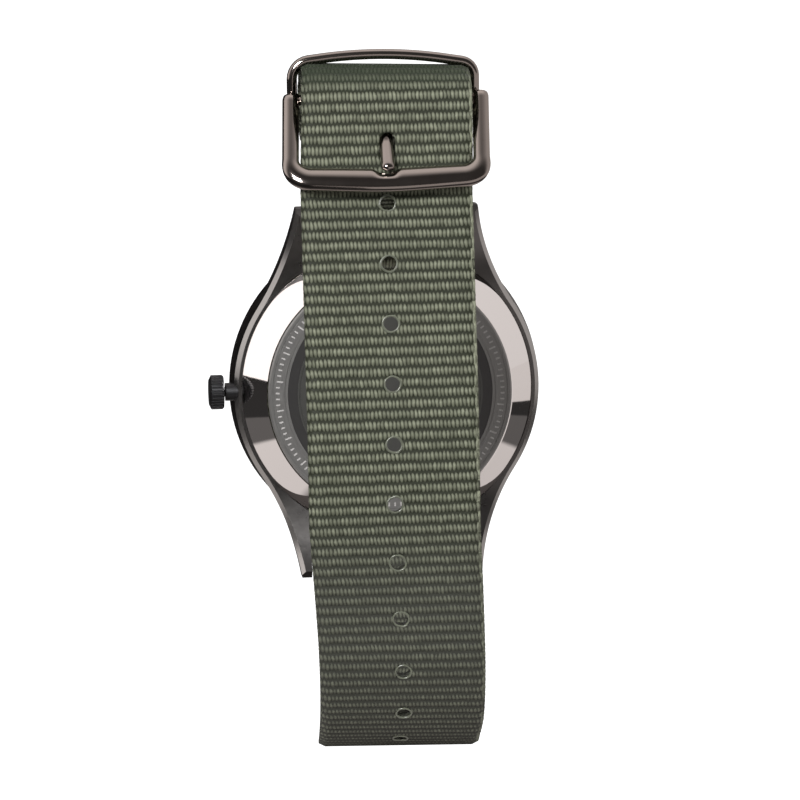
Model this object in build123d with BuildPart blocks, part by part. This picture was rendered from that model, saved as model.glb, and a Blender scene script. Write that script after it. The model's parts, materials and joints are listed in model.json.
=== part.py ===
from build123d import *
from math import acos, atan2, cos, degrees, pi, radians, sin
import os

os.makedirs("parts", exist_ok=True)

# The frame: twelve o'clock is +Z, the dial faces +Y, the crown points to -X.
# The origin is the middle of the case back's outer face, so heights in the head are distances along +Y.

# Clearances
seat_gap = 0.02
running_gap = 0.04
layer_gap = 0.1
overrun = 2.0

# Case
case_top = 8.9
case_top_bevel = 0.35
flank_end = 8.5
flank_width = 0.4
rim_width = 0.4
rim_bevel = 0.55
back_rim_width = 0.15
cone_width = 2.95
cone_start = 0.3
cone_end = 4.0
bezel_seat = 8.4
bezel_ledge = 0.7
dial_seat = 6.5
dial_seat_slack = 0.05
movement_bore_radius = 14.5

# Lugs, as half of the watch from the middle to the tip
lug_gap = 20.6
lug_end_length = 2.8
lug_turn = 33.0
lug_tip_width = 1.25
lug_knee_share = 0.57
lug_front_knee = 7.4
lug_front_tip = 3.9
lug_back_knee = 2.9
lug_back_tip = 0.5
lug_heel = 0.9
lug_nose = 1.1
lug_bevel = 0.3

# Case back and its gasket
back_radius = 15.55
back_edge = 0.2
back_seat = 1.2
back_floor = 1.0
back_neck_radius = 14.4
back_neck_wall = 0.8
back_neck_top = 2.1
back_gasket_radius = 15.0
back_gasket_top = 1.8
groove_depth = 0.08
groove_width = 0.15
outer_groove_radius = 14.95
scale_groove_radius = 13.4
inner_groove_radius = 11.5
band_outer_radius = 13.05
band_inner_radius = 11.8
pry_width = 3.0
pry_depth = 0.5

# Bezel, crystal and the flange ring under it
bezel_overhang = 2.4
bezel_wall_top = 9.3
bezel_top = 10.7
bezel_top_radius = 17.9
bezel_bore_radius = 17.15
bezel_ledge_radius = 16.1
bezel_ledge_top = 9.35
bezel_skirt_wall = 0.6
crystal_radius = 16.8
crystal_edge = 1.4
crystal_bevel = 0.25
crystal_dome = 0.35
crystal_gasket_height = 1.1
flange_inner_radius = 15.3
flange_top_radius = 15.95
flange_top = 8.85

# Dial and markers
dial_radius = 16.25
dial_thickness = 0.4
dial_hole_radius = 0.9
dial_foot_radius = 0.35
dial_foot_length = 1.2
dial_foot_reach = 11.9
marker_count = 12
marker_outer_radius = 14.6
marker_length = 1.9
quarter_marker_length = 2.7
marker_width = 0.7
quarter_marker_width = 1.1
marker_height = 0.15

# Movement plates
movement_radius = 12.8
movement_ring_foot = 2.35
plate_foot = 4.6
plate_top = 6.1
works_floor = 5.5
bridge_foot = 2.3
bridge_top = 2.6
bridge_radius = 8.2
bridge_across = 1.8
bridge_up = -0.6
pillar_radius = 0.9
pillar_across = [7.2, 5.8, -4.9]
pillar_up = [3.4, -5.9, 1.9]
screw_head_radius = 0.75
screw_head_height = 0.25
screw_shank_radius = 0.35
screw_shank_length = 1.3
screw_slot_width = 0.2
screw_slot_depth = 0.12

# Battery and clamp
battery_radius = 3.95
battery_foot = 2.5
battery_thickness = 2.05
battery_across = -6.6
battery_up = -4.2
battery_rim = 0.5
battery_step = 0.15
clamp_width = 2.2
clamp_thickness = 0.15
clamp_foot_radius = 0.5
clamp_turn = 122.5

# Circuit
board_inner_radius = 9.3
board_outer_radius = 12.4
board_thickness = 0.3
board_gap = 0.05
board_turn = -100
board_sweep_turn = 78
chip_side = 2.2
chip_thickness = 0.8
chip_reach = 10.7
chip_turn = -30
can_radius = 0.95
can_length = 6.0
can_round_share = 0.33
can_reach = 11.0
can_turn = -60

# Coil and stator
coil_up = 9.3
coil_across = -1.0
core_length = 11.4
core_end_radius = 0.9
core_width = 0.9
core_foot = 3.25
core_thickness = 0.5
winding_radius = 1.05
winding_length = 9.2
stator_thickness = 0.4
stator_width = 1.6
stator_eye_radius = 1.5
stator_bore_radius = 0.8
stator_knee_across = -6.4
stator_knee_up = 5.2
stator_bend_across = 4.4
stator_bend_up = 6.0
boss_radius = 0.7

# Wheel train: each wheel's level is the height of its lower face
arbor_radius = 0.1
arbor_foot = 2.35
arbor_top = 5.2
pivot_gap = 0.03
wheel_thickness = 0.15
pinion_thickness = 0.3
train_distance = 3.8
third_turn = -30
intermediate_distance = 3.0
intermediate_turn = 120
rotor_distance = 2.3
rotor_turn = 135
rotor_pinion_teeth = 6
intermediate_teeth = 36
intermediate_pinion_teeth = 10
seconds_teeth = 50
seconds_pinion_teeth = 8
third_teeth = 60
third_pinion_teeth = 8
centre_teeth = 64
cannon_teeth = 12
minute_wheel_teeth = 36
minute_pinion_teeth = 10
hour_teeth = 40
seconds_level = 2.9
third_level = 3.3
intermediate_level = 3.5
centre_level = 3.9
rotor_radius = 0.6
rotor_thickness = 0.45
rotor_level = 3.72

# Hand works at the middle of the dial
seconds_arbor_radius = 0.12
seconds_arbor_top = 8.55
centre_tube_radius = 0.26
centre_tube_top = 8.0
centre_hub_radius = 0.5
cannon_radius = 0.42
cannon_top = 8.1
cannon_level = 5.55
hour_tube_radius = 0.66
hour_tube_top = 7.65
hour_wheel_level = 5.92
minute_wheel_distance = 3.6
minute_wheel_turn = 200
minute_post_radius = 0.25
works_gap = 0.3

# Hands, stored at eight minutes and thirty six seconds past ten
rest_hours = 10
rest_minutes = 8
rest_seconds = 36
hour_hand_level = 7.5
minute_hand_level = 7.95
second_hand_level = 8.38
hand_thickness = 0.14
hour_hand_length = 8.8
hour_hand_width = 1.5
minute_hand_length = 12.6
minute_hand_width = 1.2
second_hand_length = 13.6
second_hand_tail = 4.2
second_hand_width = 0.32
hand_hub_wall = 0.75
second_hub_radius = 0.7
hand_shoulder_share = 0.72
hand_neck_share = 0.45

# Stem, clutch and setting lever
stem_height = 5.2
stem_radius = 0.45
stem_inner_end = 5.4
stem_square = 0.6
stem_square_end = 8.6
clutch_start = 6.6
clutch_length = 1.6
clutch_radius = 0.8
clutch_teeth = 12
lever_groove_start = 10.2
lever_groove_width = 0.6
lever_groove_radius = 0.28
lever_arm = 2.4
lever_pin_radius = 0.2
lever_width = 1.0
lever_thickness = 0.25
lever_foot = 4.2
lever_post_radius = 0.3
slot_width = 1.2

# Crown
crown_case_gap = 0.9
crown_length = 1.9
crown_radius = 2.2
crown_dome = 0.3
crown_bevel = 0.2
crown_flutes = 32
crown_flute_radius = 0.11
crown_hub_radius = 0.6
crown_hub_length = 2.2
crown_tube_radius = 1.15
crown_tube_bore = 0.65
crown_tube_depth = 3.4
crown_tube_stand = 0.7
crown_gasket_wall = 0.2
crown_gasket_width = 0.4
crown_gasket_from_cap = 1.4

# Spring bars
bar_height = 2.6
bar_case_gap = 0.25
bar_radius = 0.75
bar_bore = 0.55
bar_half_length = 9.7
tip_shoulder_end = 10.25
tip_shoulder_radius = 0.5
tip_pivot_radius = 0.4
tip_pivot_end = 11.1
tip_tail_start = 6.0
lug_hole_radius = 0.45
lug_hole_end = 11.3
spring_wall = 0.15

# Strap. The loop lies in a plane that leans back from the head, seen from the side.
strap_width = 20.0
webbing = 1.2
sewn_share = 0.95
loop_lean = 8.0
near_reach = 44.6
near_rise = 6.3
top_height = 34.0
top_bend = 5.4
belly_radius = 73.0
belly_turn = 23.5
sag_share = 0.4406
bar_slack = 0.05
pinch_run = 5.0
tail_run = 7.0
buckle_pinch_run = 7.0
buckle_tail_run = 7.0
tip_run = 15.0
tip_bevel = 6.0
point_share = 0.33
near_shift = 4.1
shift_start = 3.0
shift_end = 32.0
hole_radius = 0.95
hole_pitch = 7.0
hole_count = 12
tongue_hole_drop = 4.5

# Buckle, in the plane of its frame, measured from its pin
pin_radius = 0.7
pin_angle = 19.0
frame_arm_width = 1.45
frame_side_gap = 0.6
frame_pitch = 10.4
frame_bar_width = 2.7
frame_bow = 0.7
frame_thickness = 1.6
frame_corner = 3.0
frame_inner_corner = 1.5
frame_eye_radius = 1.1
frame_rounding = 0.65
frame_tilt = 27.6
pin_overhang = 0.15
notch_width = 2.4
notch_depth = 0.75
notch_length = 1.35
notch_round_share = 0.33
tongue_width = 1.45
tongue_thickness = 1.1
tongue_eye_wall = 0.4
tongue_reach = 9.9
tongue_rise = 0.85
tongue_lift = 4.5
tongue_side_gap = 0.2
tongue_round_share = 0.33
fold_slot_width = 2.3

# Keeper ring, in the plane that stands across the strap at the top bend
keeper_wire = 1.0
keeper_side_gap = 0.3
keeper_inner_reach = 2.1
keeper_outer_reach = 6.7
keeper_bow = 0.35
keeper_corner = 1.5
keeper_turn = 80.0

# A level plane of the head at a height, seen from the dial: crown to the right, twelve o'clock up
def level(height):
    return Plane(origin=(0, height, 0), x_dir=(-1, 0, 0), z_dir=(0, 1, 0))


# The plane across the stem at a distance from the middle, facing the crown
def stem_plane(distance):
    return Plane(origin=(-distance, stem_height, 0), x_dir=(0, 0, 1), z_dir=(-1, 0, 0))


# Turns a closed outline of radius and height points round the head's axis, inside the current part
def turn(outline, mode=Mode.ADD):
    with BuildSketch(Plane.XY) as profile:
        with BuildLine():
            Polyline(*outline, close=True)
        make_face()
    revolve(profile.sketch, axis=Axis.Y, mode=mode)


# A washer or disc between two heights, inside the current part
def disc(foot, top, radius, at=(0, 0), bore=0, mode=Mode.ADD):
    with BuildSketch(level(foot)) as face:
        with Locations(at):
            Circle(radius)
            if bore:
                Circle(bore, mode=Mode.SUBTRACT)
    extrude(face.sketch, amount=top - foot, mode=mode)


# A round piece along the stem's line between two distances from the middle, inside the current part
def rod(start, end, radius, bore=0, mode=Mode.ADD):
    with BuildSketch(stem_plane(start)) as face:
        Circle(radius)
        if bore:
            Circle(bore, mode=Mode.SUBTRACT)
    extrude(face.sketch, amount=end - start, mode=mode)


# A point seen from the dial at a distance and a turn from another point
def polar(distance, angle, origin=(0, 0)):
    return (origin[0] + distance * cos(radians(angle)), origin[1] + distance * sin(radians(angle)))


# Half the tooth angle at the root and at the tip, in shares of the pitch
root_share = 0.27
tip_share = 0.11
addendum_share = 0.85
dedendum_share = 1.15


# A toothed disc; one tooth points along the first tooth angle
def gear(teeth, module, foot, thickness, first, at=(0, 0), bore=0):
    root = (teeth / 2 - dedendum_share) * module
    tip = (teeth / 2 + addendum_share) * module
    pitch = 360 / teeth
    points = []
    for tooth in range(teeth):
        middle = first + tooth * pitch
        points.append(polar(root, middle - root_share * pitch, at))
        points.append(polar(tip, middle - tip_share * pitch, at))
        points.append(polar(tip, middle + tip_share * pitch, at))
        points.append(polar(root, middle + root_share * pitch, at))
    with BuildSketch(level(foot)) as face:
        with BuildLine():
            Polyline(*points, close=True)
        make_face()
        if bore:
            with Locations(at):
                Circle(bore, mode=Mode.SUBTRACT)
    extrude(face.sketch, amount=thickness)


# Writes a finished piece under its name
def save(piece, name):
    piece.label = name
    export_step(piece, f"parts/{name}.step")


# Case body: turned middle, four lugs, bores for the movement, crown tube and spring bars
cone_inner_radius = back_radius + back_rim_width
cone_outer_radius = cone_inner_radius + cone_width
rim_radius = cone_outer_radius + rim_width
rim_outer_radius = rim_radius + rim_bevel
rim_bevel_end = cone_end + rim_bevel
case_radius = rim_outer_radius + flank_width
dial_seat_radius = dial_radius + dial_seat_slack
bezel_seat_radius = dial_seat_radius + bezel_ledge
bezel_outer_radius = bezel_seat_radius + bezel_overhang
back_recess_radius = back_radius + seat_gap
lug_half_gap = lug_gap / 2
lug_tip_half = lug_half_gap + lug_tip_width
wrap_outer_radius = bar_radius + bar_slack + webbing
bar_reach = cone_outer_radius + bar_case_gap + wrap_outer_radius
lug_reach = bar_reach + lug_end_length
lug_root_half = rim_outer_radius * cos(radians(lug_turn))
lug_root = rim_outer_radius * sin(radians(lug_turn))
lug_knee = lug_root + (lug_reach - lug_root) * lug_knee_share

with BuildPart() as case_body:
    with BuildSketch(Plane.YZ) as lug_side:
        with BuildLine():
            front = ThreePointArc(
                (flank_end, lug_root),
                (lug_front_knee, lug_knee),
                (lug_front_tip, lug_reach),
            )
            nose = Line(front @ 1, (lug_nose, lug_reach))
            heel = Line(nose @ 1, (lug_back_tip, lug_reach - lug_heel))
            back = ThreePointArc(heel @ 1, (lug_back_knee, lug_knee), (cone_end, lug_root))
            Line(back @ 1, front @ 0)
        make_face()
    extrude(lug_side.sketch, amount=case_radius, both=True)
    with BuildSketch(level(0)) as lug_plan:
        with BuildLine():
            root = Line((lug_half_gap, lug_root), (lug_root_half, lug_root))
            waist = TangentArc(root @ 1, (lug_tip_half, lug_reach), tangent=(-lug_root, lug_root_half))
            Polyline(waist @ 1, (lug_half_gap, lug_reach), root @ 0)
        make_face()
        mirror(about=Plane.YZ)
    extrude(lug_plan.sketch, amount=case_top, mode=Mode.INTERSECT)
    for at_back, bevel in ((True, rim_bevel), (False, lug_bevel)):
        side_edges = case_body.edges().filter_by(Axis.X, reverse=True).filter_by(
            lambda edge: abs((edge @ 0.5).X) > lug_tip_half - lug_tip_width / 4
            and edge.length > lug_reach - lug_knee
            and ((edge @ 0.5).Y < cone_end) == at_back
        )
        chamfer(side_edges, bevel)
    mirror(about=Plane.XY)
    turn(
        [
            (0, cone_start),
            (cone_inner_radius, cone_start),
            (cone_outer_radius, cone_end),
            (rim_radius, cone_end),
            (rim_outer_radius, rim_bevel_end),
            (case_radius, flank_end),
            (case_radius - case_top_bevel, case_top),
            (0, case_top),
        ]
    )
    turn(
        [
            (0, -overrun),
            (cone_outer_radius, -overrun),
            (cone_outer_radius, cone_end),
            (cone_inner_radius, cone_start),
            (0, cone_start),
        ],
        Mode.SUBTRACT,
    )
    turn(
        [
            (0, cone_start - overrun),
            (back_recess_radius, cone_start - overrun),
            (back_recess_radius, back_seat),
            (back_gasket_radius, back_seat),
            (back_gasket_radius, back_gasket_top),
            (movement_bore_radius, back_gasket_top),
            (movement_bore_radius, dial_seat),
            (dial_seat_radius, dial_seat),
            (dial_seat_radius, bezel_seat),
            (bezel_seat_radius, bezel_seat),
            (bezel_seat_radius, case_top + overrun),
            (0, case_top + overrun),
        ],
        Mode.SUBTRACT,
    )
    tube_way_start = movement_bore_radius - overrun
    rod(tube_way_start, case_radius + overrun, crown_tube_radius + seat_gap, mode=Mode.SUBTRACT)
    with BuildSketch(Plane.YZ) as bar_holes:
        with Locations((bar_height, bar_reach), (bar_height, -bar_reach)):
            Circle(lug_hole_radius)
    extrude(bar_holes.sketch, amount=lug_hole_end, both=True, mode=Mode.SUBTRACT)
save(case_body.part, "case_body")

# Case back: disc, neck, one smooth sunk band between engraved lines, and a pry notch at its edge
with BuildPart() as case_back:
    turn(
        [
            (0, 0),
            (back_radius - back_edge, 0),
            (back_radius, back_edge),
            (back_radius, back_seat - seat_gap),
            (back_neck_radius, back_seat - seat_gap),
            (back_neck_radius, back_neck_top),
            (back_neck_radius - back_neck_wall, back_neck_top),
            (back_neck_radius - back_neck_wall, back_floor),
            (0, back_floor),
        ]
    )
    for radius in (outer_groove_radius, scale_groove_radius, inner_groove_radius):
        disc(0, groove_depth, radius + groove_width / 2, bore=radius - groove_width / 2, mode=Mode.SUBTRACT)
    disc(0, groove_depth, band_outer_radius, bore=band_inner_radius, mode=Mode.SUBTRACT)
    with BuildSketch(level(0)) as pry:
        with Locations((0, back_radius)):
            Rectangle(pry_width, 2 * pry_depth)
    extrude(pry.sketch, amount=pry_depth, mode=Mode.SUBTRACT)
save(case_back.part, "case_back")

with BuildPart() as case_back_gasket:
    back_gasket_bore = back_neck_radius + seat_gap
    disc(back_seat, back_gasket_top - seat_gap, back_gasket_radius - seat_gap, bore=back_gasket_bore)
save(case_back_gasket.part, "case_back_gasket")

# Bezel, crystal, gasket and flange ring
with BuildPart() as bezel_ring:
    turn(
        [
            (bezel_ledge_radius, case_top),
            (bezel_seat_radius - bezel_skirt_wall, case_top),
            (bezel_seat_radius - bezel_skirt_wall, bezel_seat + seat_gap),
            (bezel_seat_radius - seat_gap, bezel_seat + seat_gap),
            (bezel_seat_radius - seat_gap, case_top),
            (bezel_outer_radius, case_top),
            (bezel_outer_radius, bezel_wall_top),
            (bezel_top_radius, bezel_top),
            (bezel_bore_radius, bezel_top),
            (bezel_bore_radius, bezel_ledge_top),
            (bezel_ledge_radius, bezel_ledge_top),
        ]
    )
save(bezel_ring.part, "bezel_ring")

crystal_foot = bezel_ledge_top + seat_gap
crystal_rim = crystal_foot + crystal_edge
with BuildPart() as crystal:
    with BuildSketch(Plane.XY) as crystal_profile:
        with BuildLine():
            rim = Polyline(
                (0, crystal_rim + crystal_dome),
                (0, crystal_foot),
                (crystal_radius, crystal_foot),
                (crystal_radius, crystal_rim - crystal_bevel),
                (crystal_radius - crystal_bevel, crystal_rim),
            )
            TangentArc(rim @ 0, rim @ 1, tangent=(1, 0))
        make_face()
    revolve(crystal_profile.sketch, axis=Axis.Y)
save(crystal.part, "crystal")

with BuildPart() as crystal_gasket:
    disc(
        crystal_foot,
        crystal_foot + crystal_gasket_height,
        bezel_bore_radius - seat_gap,
        bore=crystal_radius + seat_gap,
    )
save(crystal_gasket.part, "crystal_gasket")

dial_top = dial_seat + dial_thickness
with BuildPart() as flange_ring:
    turn(
        [
            (flange_inner_radius, dial_top),
            (dial_seat_radius - seat_gap, dial_top),
            (dial_seat_radius - seat_gap, flange_top),
            (flange_top_radius, flange_top),
        ]
    )
save(flange_ring.part, "flange_ring")

# Dial with its two feet, and the applied markers
foot_places = [polar(dial_foot_reach, 60), polar(dial_foot_reach, 170)]
with BuildPart() as dial:
    disc(dial_seat, dial_top, dial_radius, bore=dial_hole_radius)
    for place in foot_places:
        disc(dial_seat - dial_foot_length, dial_seat, dial_foot_radius, place)
save(dial.part, "dial")

with BuildPart() as hour_markers:
    for hour in range(marker_count):
        quarter = hour % (marker_count // 4) == 0
        length = quarter_marker_length if quarter else marker_length
        width = quarter_marker_width if quarter else marker_width
        turn_angle = 360 * hour / marker_count
        with BuildSketch(level(dial_top)) as marker:
            with PolarLocations(marker_outer_radius - length / 2, 1, turn_angle):
                Rectangle(length, width)
        extrude(marker.sketch, amount=marker_height)
save(hour_markers.part, "hour_markers")

# Places of the train, seen from the dial
third_place = polar(train_distance, third_turn)
intermediate_place = polar(intermediate_distance, intermediate_turn)
rotor_place = polar(rotor_distance, rotor_turn, intermediate_place)
minute_place = polar(minute_wheel_distance, minute_wheel_turn)
pillar_places = list(zip(pillar_across, pillar_up))
battery_place = (battery_across, battery_up)
coil_ends = [
    (coil_across - core_length / 2, coil_up),
    (coil_across + core_length / 2, coil_up),
]
stator_foot = core_foot + core_thickness
stator_top = stator_foot + stator_thickness
lever_place = (lever_groove_start + lever_groove_width / 2, -lever_arm)

rotor_module = 2 * rotor_distance / (rotor_pinion_teeth + intermediate_teeth)
seconds_module = 2 * intermediate_distance / (intermediate_pinion_teeth + seconds_teeth)
third_module = 2 * train_distance / (seconds_pinion_teeth + third_teeth)
centre_module = 2 * train_distance / (third_pinion_teeth + centre_teeth)
cannon_module = 2 * minute_wheel_distance / (cannon_teeth + minute_wheel_teeth)
hour_module = 2 * minute_wheel_distance / (minute_pinion_teeth + hour_teeth)
hour_wheel_radius = (hour_teeth / 2 + addendum_share) * hour_module
minute_wheel_radius = (minute_wheel_teeth / 2 + addendum_share) * cannon_module

# Movement ring that centres the movement in the case
with BuildPart() as movement_ring:
    disc(
        movement_ring_foot,
        dial_seat - seat_gap,
        movement_bore_radius - seat_gap,
        bore=movement_radius + seat_gap,
    )
    ring_way_end = movement_bore_radius + overrun
    rod(movement_radius - overrun, ring_way_end, stem_radius + running_gap, mode=Mode.SUBTRACT)
save(movement_ring.part, "movement_ring")

# Main plate: pillars for the bridge, bosses for the coil, a pit for the hand works and a slot for the stem
with BuildPart() as main_plate:
    disc(plate_foot, plate_top, movement_radius)
    for place in pillar_places:
        disc(bridge_top, plate_foot, pillar_radius, place)
    for place in coil_ends:
        disc(stator_top, plate_foot, boss_radius, place)
    disc(works_floor, plate_top, hour_wheel_radius + works_gap, mode=Mode.SUBTRACT)
    disc(works_floor, plate_top, minute_wheel_radius + works_gap, minute_place, mode=Mode.SUBTRACT)
    disc(works_floor, plate_top, minute_post_radius, minute_place)
    disc(plate_foot, plate_top, centre_tube_radius + running_gap, mode=Mode.SUBTRACT)
    for place in (third_place, intermediate_place, rotor_place):
        disc(plate_foot, arbor_top + running_gap, arbor_radius + pivot_gap, place, mode=Mode.SUBTRACT)
    disc(plate_foot, plate_top, lever_post_radius + running_gap, lever_place, mode=Mode.SUBTRACT)
    for place in foot_places:
        disc(plate_foot, plate_top, dial_foot_radius + seat_gap, place, mode=Mode.SUBTRACT)
    with BuildSketch(level(plate_foot)) as stem_slot:
        slot_start = stem_inner_end - works_gap
        with Locations(((slot_start + movement_radius + overrun) / 2, 0)):
            Rectangle(movement_radius + overrun - slot_start, slot_width)
    extrude(stem_slot.sketch, amount=stem_height + stem_radius + running_gap - plate_foot, mode=Mode.SUBTRACT)
    with BuildSketch(level(plate_foot)) as clutch_window:
        with Locations((clutch_start + clutch_length / 2, 0)):
            Rectangle(clutch_length + 2 * works_gap, 2 * clutch_radius + 2 * works_gap)
    extrude(clutch_window.sketch, amount=plate_top - plate_foot, mode=Mode.SUBTRACT)
    for place in pillar_places:
        disc(bridge_foot, bridge_foot + screw_shank_length, screw_shank_radius, place, mode=Mode.SUBTRACT)
    for place in coil_ends:
        disc(core_foot, core_foot + screw_shank_length, screw_shank_radius, place, mode=Mode.SUBTRACT)
save(main_plate.part, "main_plate")

# Train bridge over the wheels
with BuildPart() as train_bridge:
    disc(bridge_foot, bridge_top, bridge_radius, (bridge_across, bridge_up))
    disc(bridge_foot, bridge_top, battery_radius + works_gap, battery_place, mode=Mode.SUBTRACT)
    for place in (third_place, intermediate_place, rotor_place):
        disc(bridge_foot, bridge_top, arbor_radius + pivot_gap, place, mode=Mode.SUBTRACT)
    disc(bridge_foot, bridge_top, seconds_arbor_radius + pivot_gap, mode=Mode.SUBTRACT)
    for place in pillar_places:
        disc(bridge_foot, bridge_top, screw_shank_radius + seat_gap, place, mode=Mode.SUBTRACT)
save(train_bridge.part, "train_bridge")

# Screws: three hold the bridge, two hold the coil
with BuildPart() as bridge_screws:
    for height, places in ((bridge_foot, pillar_places), (core_foot, coil_ends)):
        for place in places:
            disc(height, height + screw_shank_length - seat_gap, screw_shank_radius - seat_gap, place)
            disc(height - screw_head_height, height, screw_head_radius, place)
            with BuildSketch(level(height - screw_head_height)) as slot:
                with Locations(place):
                    Rectangle(2 * screw_head_radius, screw_slot_width)
            extrude(slot.sketch, amount=screw_slot_depth, mode=Mode.SUBTRACT)
save(bridge_screws.part, "bridge_screws")

# Battery with its stepped cap, and the clamp that bears on it
battery_top = battery_foot + battery_thickness
with BuildPart() as battery:
    disc(battery_foot, battery_top - battery_step, battery_radius, battery_place)
    disc(battery_top - battery_step, battery_top, battery_radius - battery_rim, battery_place)
save(battery.part, "battery")

clamp_reach = battery_radius + clamp_foot_radius + layer_gap
with BuildPart() as battery_clamp:
    with BuildSketch(level(battery_foot - clamp_thickness)) as clamp:
        with Locations(Location((battery_across, battery_up, 0), clamp_turn)):
            SlotCenterToCenter(2 * clamp_reach, clamp_width)
    extrude(clamp.sketch, amount=clamp_thickness)
    for side in (clamp_turn, clamp_turn + 180):
        disc(battery_foot, plate_foot, clamp_foot_radius, polar(clamp_reach, side, battery_place))
save(battery_clamp.part, "battery_clamp")

# Circuit board, chip and quartz can
board_top = plate_foot - board_gap
board_foot = board_top - board_thickness
with BuildPart() as circuit_board:
    with BuildSketch(level(board_foot)) as board:
        with BuildLine():
            outer = CenterArc((0, 0), board_outer_radius, board_turn, board_sweep_turn)
            inner = CenterArc((0, 0), board_inner_radius, board_turn, board_sweep_turn)
            Line(outer @ 0, inner @ 0)
            Line(outer @ 1, inner @ 1)
        make_face()
    extrude(board.sketch, amount=board_thickness)
save(circuit_board.part, "circuit_board")

chip_place = polar(chip_reach, chip_turn)
with BuildPart() as circuit_chip:
    with BuildSketch(level(board_foot - chip_thickness)) as chip:
        with Locations(Location((chip_place[0], chip_place[1], 0), chip_turn)):
            Rectangle(chip_side, chip_side)
    extrude(chip.sketch, amount=chip_thickness)
save(circuit_chip.part, "circuit_chip")

can_place = polar(can_reach, can_turn)
can_plane = Plane(
    origin=level(board_foot - can_radius - board_gap).from_local_coords(Vector(*can_place, 0)),
    z_dir=level(0).from_local_coords(Vector(*polar(1, can_turn + 90), 0)),
)
with BuildPart() as quartz_can:
    with BuildSketch(can_plane) as can:
        Circle(can_radius)
    extrude(can.sketch, amount=can_length / 2, both=True)
    fillet(quartz_can.edges(), can_radius * can_round_share)
save(quartz_can.part, "quartz_can")

# Coil core, its winding and the stator it feeds
with BuildPart() as coil_core:
    with BuildSketch(level(core_foot)) as core:
        with Locations((coil_across, coil_up)):
            Rectangle(core_length, core_width)
        with Locations(*coil_ends):
            Circle(core_end_radius)
            Circle(screw_shank_radius, mode=Mode.SUBTRACT)
    extrude(core.sketch, amount=core_thickness)
save(coil_core.part, "coil_core")

core_middle = core_foot + core_thickness / 2
with BuildPart() as coil_winding:
    with BuildSketch(Plane(origin=(-coil_across, core_middle, coil_up), z_dir=(1, 0, 0))) as turns:
        Circle(winding_radius)
    extrude(turns.sketch, amount=winding_length / 2, both=True)
    with BuildSketch(level(core_foot - seat_gap)) as core_way:
        with Locations((coil_across, coil_up)):
            Rectangle(core_length, core_width + 2 * seat_gap)
    extrude(core_way.sketch, amount=core_thickness + 2 * seat_gap, mode=Mode.SUBTRACT)
save(coil_winding.part, "coil_winding")

with BuildPart() as stator:
    with BuildSketch(level(stator_foot)) as blade:
        with BuildLine() as route:
            Polyline(
                coil_ends[0],
                (stator_knee_across, stator_knee_up),
                rotor_place,
                (stator_bend_across, stator_bend_up),
                coil_ends[1],
            )
        trace(route.line, line_width=stator_width)
        with Locations(*coil_ends):
            Circle(core_end_radius)
        with Locations(rotor_place):
            Circle(stator_eye_radius)
            Circle(stator_bore_radius, mode=Mode.SUBTRACT)
        with Locations(*coil_ends):
            Circle(screw_shank_radius, mode=Mode.SUBTRACT)
    extrude(blade.sketch, amount=stator_thickness)
save(stator.part, "stator")

# Rotor: magnet, pinion and arbor
with BuildPart() as rotor:
    disc(arbor_foot, arbor_top, arbor_radius, rotor_place)
    disc(rotor_level, rotor_level + rotor_thickness, rotor_radius, rotor_place)
    gear(
        rotor_pinion_teeth,
        rotor_module,
        rotor_level - pinion_thickness,
        pinion_thickness,
        rotor_turn + 180,
        rotor_place,
    )
save(rotor.part, "rotor")

# Intermediate wheel: a gap faces the rotor, a pinion tooth faces the seconds wheel
with BuildPart() as intermediate_wheel:
    disc(arbor_foot, arbor_top, arbor_radius, intermediate_place)
    gear(
        intermediate_teeth,
        rotor_module,
        intermediate_level,
        wheel_thickness,
        rotor_turn + 180 / intermediate_teeth,
        intermediate_place,
    )
    gear(
        intermediate_pinion_teeth,
        seconds_module,
        seconds_level - wheel_thickness / 2,
        intermediate_level + wheel_thickness - seconds_level,
        intermediate_turn + 180,
        intermediate_place,
    )
save(intermediate_wheel.part, "intermediate_wheel")

# Seconds wheel on the long middle arbor
with BuildPart() as seconds_wheel:
    disc(arbor_foot, seconds_arbor_top, seconds_arbor_radius)
    gear(
        seconds_teeth,
        seconds_module,
        seconds_level,
        wheel_thickness,
        intermediate_turn + 180 / seconds_teeth,
    )
    gear(
        seconds_pinion_teeth,
        third_module,
        seconds_level + wheel_thickness / 2,
        third_level + pinion_thickness - seconds_level,
        third_turn,
    )
save(seconds_wheel.part, "seconds_wheel")

with BuildPart() as third_wheel:
    disc(arbor_foot, arbor_top, arbor_radius, third_place)
    gear(
        third_teeth,
        third_module,
        third_level,
        wheel_thickness,
        third_turn + 180 + 180 / third_teeth,
        third_place,
    )
    gear(
        third_pinion_teeth,
        centre_module,
        third_level + wheel_thickness / 2,
        centre_level + pinion_thickness - third_level,
        third_turn + 180,
        third_place,
    )
save(third_wheel.part, "third_wheel")

# Centre wheel on its tube, and the cannon pinion gripping that tube
centre_hub_top = plate_foot - running_gap
centre_bore = seconds_arbor_radius + running_gap / 2
with BuildPart() as centre_wheel:
    disc(centre_level, centre_tube_top, centre_tube_radius)
    disc(centre_level, centre_hub_top, centre_hub_radius)
    gear(
        centre_teeth,
        centre_module,
        centre_level,
        wheel_thickness,
        third_turn + 180 / centre_teeth,
    )
    disc(centre_level, centre_tube_top, centre_bore, mode=Mode.SUBTRACT)
save(centre_wheel.part, "centre_wheel")

with BuildPart() as cannon_pinion:
    disc(cannon_level, cannon_top, cannon_radius)
    gear(cannon_teeth, cannon_module, cannon_level, pinion_thickness, minute_wheel_turn)
    disc(cannon_level, cannon_top, centre_tube_radius + seat_gap / 2, mode=Mode.SUBTRACT)
save(cannon_pinion.part, "cannon_pinion")

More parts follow.
